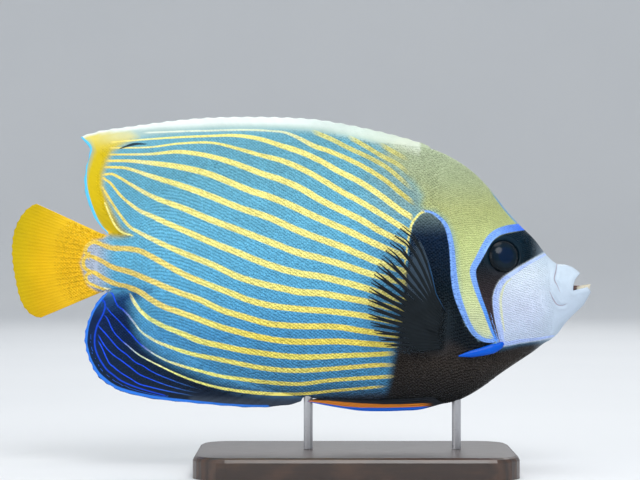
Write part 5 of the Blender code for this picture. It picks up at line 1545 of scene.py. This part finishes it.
def make_pectoral():
    """The right breast fin: a fan of branching rays that leans out from the flank."""
    lines, stations = 24 * PECTORAL_RAYS + 1, even(44)
    share = even(lines)
    start, margin = path(PECTORAL_BASE)(share), path(PECTORAL_TIPS)(share)
    r = stations[None, :, None]
    between = 0.5 + 0.5 * np.cos(2 * math.pi * share * PECTORAL_RAYS)
    reach = np.linalg.norm(margin - start, axis=1)
    cut = 1.3 * between / reach
    flat = start[:, None] + (margin - start)[:, None] * (r * (1 - cut[:, None, None] * r**5))
    flat[..., 0] += np.interp(stations, *zip(*PECTORAL_BEND)) * ease(share, 0.55, 1.0)[:, None] ** 1.5
    away = np.linalg.norm(flat - flat[:, :1], axis=-1)
    root = flank(flat[:, :1, 0], flat[:, :1, 1]) - PECTORAL_SINK
    y = root + away * math.tan(PECTORAL_FLARE) + 3.0 * np.minimum(1, away / 12)
    middle = on_plane(flat, -y)
    ray = ray_height(share[:, None], stations[None, :], PECTORAL_RAYS, 1.0)
    half = 0.22 + 1.25 * (1 - stations[None, :]) ** 2.4 + 0.22 * ray * (1 - 0.6 * stations[None, :])
    foot_away = (flat[..., 0] - 72.3) ** 2 + (flat[..., 1] - 83.8) ** 2
    half = half + 0.9 * np.sqrt(np.maximum(0, 1 - foot_away / 36))
    fin, source = shell("breast_fin_right", middle, half, grid_normals(middle), pectoral_material())
    along = stations[None, :] + 0 * share[:, None]
    high = ease(share, 0.58, 0.78)[:, None] + 0 * along
    phase = share[:, None] * PECTORAL_RAYS - 0.5
    off = np.abs(np.abs(phase - np.round(phase)) - 0.2 * ease(along, 0.66, 1.0))
    closed = 0.54 - 0.2 * high
    wide = np.where(along < closed, 0.62, 0.5 - 0.46 * ((along - closed) / (1 - closed)) ** 0.7)
    limit = closed + 0.24 * high + 0.2 * ease(share, 0.62, 1.0)[:, None]
    web = 0.08 + 0.82 * high * (1 - ease(along, limit, limit + 0.07))
    front = 0.5 * ease(share, 0.975, 0.99)[:, None] * ease(along, 0.05, 0.15) * (1 - ease(along, 0.5, 0.65))
    root = ease(along, 0.01, 0.16) * (0.4 + 0.6 * ease(share, 0.0, 0.04)[:, None])
    for name, values in (("ray", wide - off), ("web", web), ("front", front), ("root", root)):
        write_values(fin.data, name, np.broadcast_to(values, along.shape).reshape(-1)[source])
    return fin


def pelvic_material():
    """Dark navy, with a bright blue lower edge and an orange-brown band above it."""
    made, w, shader = new_material("belly fin", Specular_IOR_Level=0.14, Roughness=0.42)
    cloud = w.math("MULTIPLY_ADD", w.noise(w.place(), 120.0, 3.0), 0.4, -0.2)
    above = w.math("ADD", w.attribute("above_orange"), cloud)
    band = w.mix(w.smooth(above, -0.25, 0.25), paint(206, 122, 36), paint(20, 26, 34))
    colour = w.mix(w.smooth(w.attribute("above_blue"), -0.2, 0.2), paint(4, 96, 216), band)
    colour = w.mix(w.math("MULTIPLY", w.attribute("ray"), 0.3), colour, paint(10, 14, 20))
    w.give(shader.inputs["Base Color"], w.mix(w.attribute("fade"), colour, paint(28, 32, 38)))
    w.give(shader.inputs["Normal"], w.bump(w.noise(w.place(), 800.0), 0.2, 0.0003))
    return made


def make_pelvic():
    """The right belly fin, folded back along the breast. Its spine and longest ray form the lower edge."""
    share, stations = even(84), even(70)
    low = path(PELVIC_LOW_EDGE)(stations)
    high = path([PELVIC_BASE[0], (58.0, 40.4), PELVIC_TIPS[0]])(stations)
    tips = path(PELVIC_TIPS)(share)
    part = share[:, None, None]
    grid = high[None] * (1 - part) + low[None] * part
    grid = grid + (tips - grid[:, -1])[:, None] * stations[None, :, None] ** 2
    out = PELVIC_OUT - 2.4 * stations[None, :] + (grid[..., 1] - 34.0) * 0.10
    ray = ray_height(share[:, None], stations[None, :], PELVIC_RAYS, 1.0)
    half = 0.28 + 0.8 * (1 - stations[None, :]) + 0.24 * ray * (1 - 0.6 * stations[None, :])
    fin, source = shell("belly_fin_right", on_plane(grid, -out), half, ACROSS, pelvic_material())
    x, z = grid[..., 0], grid[..., 1]
    for name, values in (
        ("above_blue", z - np.interp(x, *zip(*PELVIC_BLUE_TOP))),
        ("above_orange", z - np.interp(x, *zip(*PELVIC_ORANGE_TOP))),
        ("ray", ray), ("fade", ease(x, 66, 73)),
    ):
        write_values(fin.data, name, np.broadcast_to(values, x.shape).reshape(-1)[source])
    return fin


def tapered_rod(line, radii, sides, flat=1.0, out=ACROSS):
    """Points and faces of a closed rod along a line of points, its radius going with the radii."""
    points, faces = [], []
    for at, along, radius in zip(line, np.gradient(line, axis=0), radii):
        one = np.array(out, float) - along * np.dot(out, along) / np.dot(along, along)
        one /= np.linalg.norm(one)
        two = np.cross(along, one)
        two /= np.linalg.norm(two)
        for j in range(sides):
            a = 2 * math.pi * j / sides
            points.append(at + radius * (one * math.cos(a) * flat + two * math.sin(a)))
    rings = len(line)
    for i in range(rings - 1):
        for j in range(sides):
            k = (j + 1) % sides
            faces.append((i * sides + j, i * sides + k, (i + 1) * sides + k, (i + 1) * sides + j))
    points += [line[0], line[-1]]
    first, last = len(points) - 2, len(points) - 1
    for j in range(sides):
        k = (j + 1) % sides
        faces += [(first, k, j), (last, (rings - 1) * sides + j, (rings - 1) * sides + k)]
    return points, faces


def spine_material():
    made, w, shader = new_material("blue spine", Specular_IOR_Level=0.12, Coat_Weight=0.08, Coat_Roughness=0.15)
    cloud = w.noise(w.stretched((0.5, 1.0, 1.0)), 200.0, 3.0)
    w.give(shader.inputs["Base Color"], w.mix(cloud, paint(0, 66, 186), paint(0, 100, 220)))
    w.give(shader.inputs["Roughness"], w.math("MULTIPLY_ADD", cloud, 0.2, 0.25))
    w.give(shader.inputs["Normal"], w.bump(w.noise(w.stretched((0.2, 1.0, 1.0)), 900.0), 0.15, 0.0002))
    return made


def make_spine():
    """The strong spine at the lower corner of the right cheek."""
    at = even(30)
    flat = path(CHEEK_SPINE)(at)
    y = flank(flat[:, 0], flat[:, 1]) + 0.6 + 0.9 * at
    radii = np.interp(at, even(4), CHEEK_SPINE_RADII) * np.minimum(1, 0.55 + at * 8)
    points, faces = tapered_rod(on_plane(flat, -y), radii, 20, 0.62)
    return mesh_piece("cheek_thorn_right", points, outward_faces(points, faces), spine_material(), 60)


def outward_faces(points, faces):
    """The faces of a closed shape, turned round if they point in."""
    p, volume = np.array(points), 0.0
    for face in faces:
        for k in range(1, len(face) - 1):
            volume += np.linalg.det(p[[face[0], face[k], face[k + 1]]])
    return faces if volume > 0 else [f[::-1] for f in faces]


def turned(profile, around):
    """A closed shape turned round Z: its points and faces, from (radius, height) pairs between its poles."""
    angle = 2 * math.pi * np.arange(around) / around
    rings = [np.stack([r * np.cos(angle), r * np.sin(angle), h + 0 * angle], -1) for r, h in profile[1:-1]]
    points = np.concatenate([[(0.0, 0.0, profile[0][1])], *rings, [(0.0, 0.0, profile[-1][1])]])
    faces, last = [], len(points) - 1
    for j in range(around):
        k = (j + 1) % around
        faces += [(0, 1 + j, 1 + k), (last, last - around + k, last - around + j)]
        for i in range(len(rings) - 1):
            a, b = 1 + i * around, 1 + (i + 1) * around
            faces.append((a + j, b + j, b + k, a + k))
    return points, faces


def ball_profile(steps):
    return [(math.sin(math.pi * i / steps), math.cos(math.pi * i / steps)) for i in range(steps + 1)]


def eye_material():
    """Dark teal round a bluer pupil, wet and glossy."""
    made, w, shader = new_material(
        "wet eye", Specular_IOR_Level=0.06, Coat_Weight=0.2, Coat_Roughness=0.03, Roughness=0.25
    )
    away = w.attribute("away")
    streak = w.math("MULTIPLY_ADD", w.noise(w.place(), 420.0, 3.0), 0.3, -0.15)
    iris = w.mix(w.smooth(w.math("ADD", away, streak), 5.2, 8.6), paint(7, 27, 40), paint(3, 13, 20))
    w.give(shader.inputs["Base Color"], w.mix(w.smooth(away, 4.0, 4.9), paint(3, 26, 52), iris))
    return made


def facing(side, x, z):
    """Turn that points Z out of the flank on this side, with X along the head and Y up it."""
    out = flank_normal(x, z)
    out.y *= side
    up = Vector((0, 0, 1))
    along = up.cross(out).normalized() * -side
    return Matrix((along, out.cross(along), out)).transposed()


def make_eye():
    """The right eye: a flattened ball sunk in its socket."""
    x, z = EYE_AT
    turn = facing(-1, x, z)
    centre = Vector((x, -float(flank(x, z)), z)) - turn.col[2] * EYE_SUNK
    points, faces = turned(ball_profile(36), 72)
    away = np.where(points[:, 2] > 0, np.hypot(points[:, 0], points[:, 1]), 1.0)
    placed = [turn @ Vector([c * h for c, h in zip(p, EYE_HALF)]) + centre for p in points]
    made = mesh_piece("eyeball_right", placed, outward_faces(placed, faces), eye_material(), 0)
    write_values(made.data, "away", away * EYE_HALF[0])
    return made


def make_nostrils():
    """The two short tubes of the right nostril, as dark as the mask, each with a bore."""
    points, faces = [], []
    for x, z, length in NOSTRILS:
        turn = facing(-1, x, z)
        foot = Vector((x, -float(flank(x, z)), z))
        tube, sides = turned(NOSTRIL_TUBE, 20)
        tube[:, 2] = np.where(tube[:, 2] > 0, tube[:, 2] * length * 0.8, tube[:, 2])
        placed = [turn @ Vector(p) + foot for p in tube]
        faces += [tuple(len(points) + i for i in f) for f in outward_faces(placed, sides)]
        points += placed
    made = mesh_piece("nostrils_right", points, faces, skin_material(), 50)
    write_markings(made.data)
    return made


def tooth_material():
    made, w, shader = new_material("bristle teeth", Coat_Weight=0.4, Coat_Roughness=0.1)
    cloud = w.noise(w.place(), 500.0)
    w.give(shader.inputs["Base Color"], w.mix(cloud, paint(216, 206, 178), paint(246, 240, 222)))
    w.give(shader.inputs["Roughness"], w.math("MULTIPLY_ADD", cloud, 0.2, 0.25))
    return made


def lining_material():
    made, w, shader = new_material("mouth lining", Coat_Weight=0.4, Coat_Roughness=0.15, Roughness=0.45)
    cloud = w.noise(w.place(), 420.0, 4.0)
    # Brown lining, darkened in part by painted shade of the mouth's hollow
    w.give(shader.inputs["Base Color"], w.mix(cloud, paint(70, 44, 40), paint(128, 88, 78)))
    w.give(shader.inputs["Normal"], w.bump(cloud, 0.5, 0.0005))
    return made


def make_lining():
    """The brown floor of the open mouth, behind the bristle teeth, darkened in part by painted shade."""
    p, faces = turned(ball_profile(16), 32)
    middle, half = np.array(LINING_AT), np.array(LINING_HALF)
    furrow = 1 - 0.16 * hump(p[:, 1], 0.22) * (p[:, 2] > 0)
    placed = p * half * furrow[:, None] + middle
    return mesh_piece("mouth_lining", placed, outward_faces(placed, faces), lining_material(), 0)


def make_teeth():
    """Crowded bristle teeth on the rim of the lower lip, longest in front, set on their seats by nodes."""
    places, turns, sizes = [], [], []
    x, z = TEETH_MIDDLE
    for row, count in enumerate(TEETH_ROWS):
        for k in range(count):
            angle = TEETH_SPREAD * (2 * k / (count - 1) - 1)
            ahead, out = math.cos(angle), math.sin(angle)
            long, wide = TEETH_HALF[0] - 0.75 * row, TEETH_HALF[1] - 0.5 * row
            places.append((x + long * ahead, wide * out, z))
            turns.append((-0.22 * out, 0.3 * ahead, 0.0))
            sizes.append(2.7 + 1.2 * ahead**2 - 0.2 * row)
    line = np.array(((0, 0, 0), (0, 0, 0.6), (0, 0, 1.0)))
    rod, sides = tapered_rod(line, (0.12, 0.11, 0.05), 6, 1.0, (1, 0, 0))
    template = mesh_piece("one bristle", rod, outward_faces(rod, sides), tooth_material(), 60)
    values = {"Scale": template, "Material": template.data.materials[0], "Tilt": 0.07, "Seed": 5}
    teeth = set_on_seats("bristle_teeth", places, turns, sizes, values)
    bpy.data.objects.remove(template)
    return teeth


# Stage


def make_stage(settings):
    """A pale round floor that curves up into a wall, soft lamps, and a camera where the photo's stood."""
    rings = [(0.0, 0.0), (0.6, 0.0), (1.4, 0.0), (2.4, 0.0)]
    for step in range(1, 13):
        turn = math.radians(90 * step / 12)
        rings.append((2.4 + 0.9 * math.sin(turn), 0.9 - 0.9 * math.cos(turn)))
    rings += [(3.3, 1.8), (3.3, 3.0)]
    around = 96
    points = [(0.0, 0.0, 0.0)]
    faces = []
    for k, (radius, height) in enumerate(rings[1:]):
        for j in range(around):
            angle = 2 * math.pi * j / around
            points.append((radius * math.cos(angle) / MM, radius * math.sin(angle) / MM, height / MM))
            after = (j + 1) % around
            if k == 0:
                faces.append((0, 1 + j, 1 + after))
            else:
                a, b = 1 + (k - 1) * around, 1 + k * around
                faces.append((a + j, b + j, b + after, a + after))
    floor_look, w, shader = new_material("studio floor", Roughness=0.7)
    cloud = w.noise(w.place(), 3.0, 3.0)
    w.give(shader.inputs["Base Color"], w.mix(cloud, paint(216, 219, 222), paint(224, 226, 228)))
    floor = mesh_piece("studio_floor", points, faces, floor_look, 0)

    world = bpy.data.worlds.new("studio")
    world.use_nodes = True
    sky = world.node_tree.nodes["Background"]
    sky.inputs["Color"].default_value = (0.93, 0.96, 1.0, 1.0)
    sky.inputs["Strength"].default_value = settings.room_light
    bpy.context.scene.world = world
    middle = Vector((0.0, 0.0, 0.12))
    for name, place, size, watts in (
        ("key", (0.35, -1.5, 1.55), 1.1, 1.0), ("fill", (-1.6, -1.3, 0.7), 1.4, 0.35),
        ("rear", (0.2, 1.7, 1.5), 1.2, 0.6), ("top", (0.0, -0.2, 2.1), 1.3, 0.5),
    ):
        lamp = bpy.data.lights.new(name, "AREA")
        lamp.shape, lamp.size = "DISK", size
        lamp.energy = settings.lamp_power * watts
        stand = in_scene(name, lamp)
        stand.location = place
        stand.rotation_euler = (middle - Vector(place)).to_track_quat("-Z", "Y").to_euler()

    camera = bpy.data.cameras.new("camera")
    camera.sensor_width = 36.0
    camera.lens = 36.0 * settings.camera_away / (PHOTO_FIELD * MM)
    camera.clip_end = 20.0
    held = in_scene("camera", camera)
    aim = Vector((PHOTO_AIM[0] * MM, 0.0, PHOTO_AIM[1] * MM))
    held.location = aim + Vector((0.0, -settings.camera_away, 0.0))
    held.rotation_euler = (math.radians(90), 0.0, 0.0)
    bpy.context.scene.camera = held
    bpy.context.scene.view_settings.view_transform = "Standard"


# Settings, operators and panel


class FishSizes(bpy.types.PropertyGroup):
    """Sizes of the fish's looks."""

    coat_depth: bpy.props.FloatProperty(
        name="Coat depth", description="How far the skin lies under the scales", default=0.00025,
        min=0.0, max=0.001, precision=5, unit="LENGTH",
    )
    scale_width: bpy.props.FloatProperty(
        name="Scale width", description="Width of one scale on the flank", default=0.0019,
        min=0.0012, max=0.004, precision=4, unit="LENGTH",
    )
    scale_tilt: bpy.props.FloatProperty(
        name="Scale tilt", description="How unevenly the scales lie", default=math.radians(4),
        min=0.0, max=0.5, subtype="ANGLE",
    )


def colour_property(name, description, part):
    return bpy.props.FloatVectorProperty(
        name=name, description=description, subtype="COLOR", min=0.0, max=1.0, default=USUAL[part],
    )


class FishColours(bpy.types.PropertyGroup):
    """Main colours of the fish. The shades around them follow."""

    flank: colour_property("Flank", "Blue ground of the flanks", "flank")
    stripes: colour_property("Stripes", "Yellow stripes along the flanks", "stripes")
    lines: colour_property("Lines", "Bright lines round mask, gill cover and fins", "lines")
    tail: colour_property("Tail", "Yellow of the tail fin and of the back fin's rear end", "tail")
    nape: colour_property("Nape", "Olive of the nape and the band down to the breast", "nape")
    cheek: colour_property("Cheek", "Bluish white of the cheek and the snout", "cheek")


class StageSettings(bpy.types.PropertyGroup):
    """Light and camera of the stage."""

    camera_away: bpy.props.FloatProperty(
        name="Camera distance", description="From the camera to the middle of the fish", default=1.2,
        min=0.5, max=4.0, unit="LENGTH",
    )
    lamp_power: bpy.props.FloatProperty(
        name="Lamp power", description="Power of the strongest lamp, in watts", default=23.0, min=0.0,
    )
    room_light: bpy.props.FloatProperty(
        name="Room light", description="Strength of the even light from all round", default=0.55, min=0.0,
    )


def place_pair(right, node):
    """Rides, names and pairs a piece of the right side and its mirrored twin, each for its CAD node."""
    left = mirror_piece(right, right.name.replace("_right", "_left"))
    for piece, side in ((right, "_right"), (left, "_left")):
        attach(piece, "root")
        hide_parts(node + side)


class FISH_OT_skin(bpy.types.Operator):
    """Lay one skin over the body, the jaws and the middle fins"""

    bl_idname = "fish.skin"
    bl_label = "Skin"

    def execute(self, context):
        skin, inner = make_skin(context.scene.fish_sizes.coat_depth / MM)
        write_markings(skin.data, inner)
        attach(skin, "root")
        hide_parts(*FLESH)
        return {"FINISHED"}


class FISH_OT_scales(bpy.types.Operator):
    """Set small scales over the flanks, the head and the lower part of the middle fins"""

    bl_idname = "fish.scales"
    bl_label = "Scales"

    def execute(self, context):
        for coat in make_scales(context.scene.fish_sizes):
            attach(coat, "root")
        return {"FINISHED"}


class FISH_OT_eyes(bpy.types.Operator):
    """Set the wet, dark eyes in their sockets"""

    bl_idname = "fish.eyes"
    bl_label = "Eyes"

    def execute(self, context):
        place_pair(make_eye(), "eye")
        return {"FINISHED"}


class FISH_OT_teeth(bpy.types.Operator):
    """Set the bristle teeth on the lower lip, the floor of the mouth and the nostrils"""

    bl_idname = "fish.teeth"
    bl_label = "Mouth and nostrils"

    def execute(self, context):
        right = make_nostrils()
        for piece in (make_teeth(), make_lining(), right, mirror_piece(right, "nostrils_left")):
            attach(piece, "root")
        return {"FINISHED"}


class FISH_OT_spines(bpy.types.Operator):
    """Make the blue spine at the corner of each cheek"""

    bl_idname = "fish.spines"
    bl_label = "Cheek spines"

    def execute(self, context):
        place_pair(make_spine(), "cheek_spine")
        return {"FINISHED"}


class FISH_OT_breast_fins(bpy.types.Operator):
    """Fan out the clear breast fins with their dark rays"""

    bl_idname = "fish.breast_fins"
    bl_label = "Breast fins"

    def execute(self, context):
        place_pair(make_pectoral(), "pectoral_fin")
        return {"FINISHED"}


class FISH_OT_belly_fins(bpy.types.Operator):
    """Fold the belly fins back under the breast"""

    bl_idname = "fish.belly_fins"
    bl_label = "Belly fins"

    def execute(self, context):
        place_pair(make_pelvic(), "pelvic_fin")
        return {"FINISHED"}


class FISH_OT_stand(bpy.types.Operator):
    """Finish the display base in stained wood and its rods in brushed steel"""

    bl_idname = "fish.stand"
    bl_label = "Stand"

    def execute(self, context):
        wood, steel = wood_material(), steel_material()
        for name, look in (("stand_base", wood), ("stand_rod_front", steel), ("stand_rod_rear", steel)):
            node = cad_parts[name]
            node.data.materials.clear()
            node.data.materials.append(look)
        return {"FINISHED"}


class FISH_OT_stage(bpy.types.Operator):
    """Set up the floor, the lamps and the camera"""

    bl_idname = "fish.stage"
    bl_label = "Stage"

    def execute(self, context):
        make_stage(context.scene.fish_stage)
        return {"FINISHED"}


OPERATORS = (
    FISH_OT_skin, FISH_OT_scales, FISH_OT_eyes, FISH_OT_teeth, FISH_OT_spines, FISH_OT_breast_fins,
    FISH_OT_belly_fins, FISH_OT_stand, FISH_OT_stage,
)


class FISH_PT_panel(bpy.types.Panel):
    """Steps that dress the model, in order"""

    bl_label = "Angelfish"
    bl_idname = "FISH_PT_panel"
    bl_space_type = "VIEW_3D"
    bl_region_type = "UI"
    bl_category = "Angelfish"

    def draw(self, context):
        for settings in (context.scene.fish_sizes, context.scene.fish_colours, context.scene.fish_stage):
            for name in settings.bl_rna.properties.keys():
                if name not in ("rna_type", "name"):
                    self.layout.prop(settings, name)
        for step in OPERATORS:
            self.layout.operator(step.bl_idname)


CLASSES = (FishSizes, FishColours, StageSettings, *OPERATORS, FISH_PT_panel)


def register():
    for made in CLASSES:
        bpy.utils.register_class(made)
    bpy.types.Scene.fish_sizes = bpy.props.PointerProperty(type=FishSizes)
    bpy.types.Scene.fish_colours = bpy.props.PointerProperty(type=FishColours)
    bpy.types.Scene.fish_stage = bpy.props.PointerProperty(type=StageSettings)


def unregister():
    del bpy.types.Scene.fish_stage
    del bpy.types.Scene.fish_colours
    del bpy.types.Scene.fish_sizes
    for made in reversed(CLASSES):
        bpy.utils.unregister_class(made)


def main():
    register()
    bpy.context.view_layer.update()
    for step in OPERATORS:
        getattr(bpy.ops.fish, step.bl_idname.split(".")[1])()


if __name__ == "__main__":
    main()
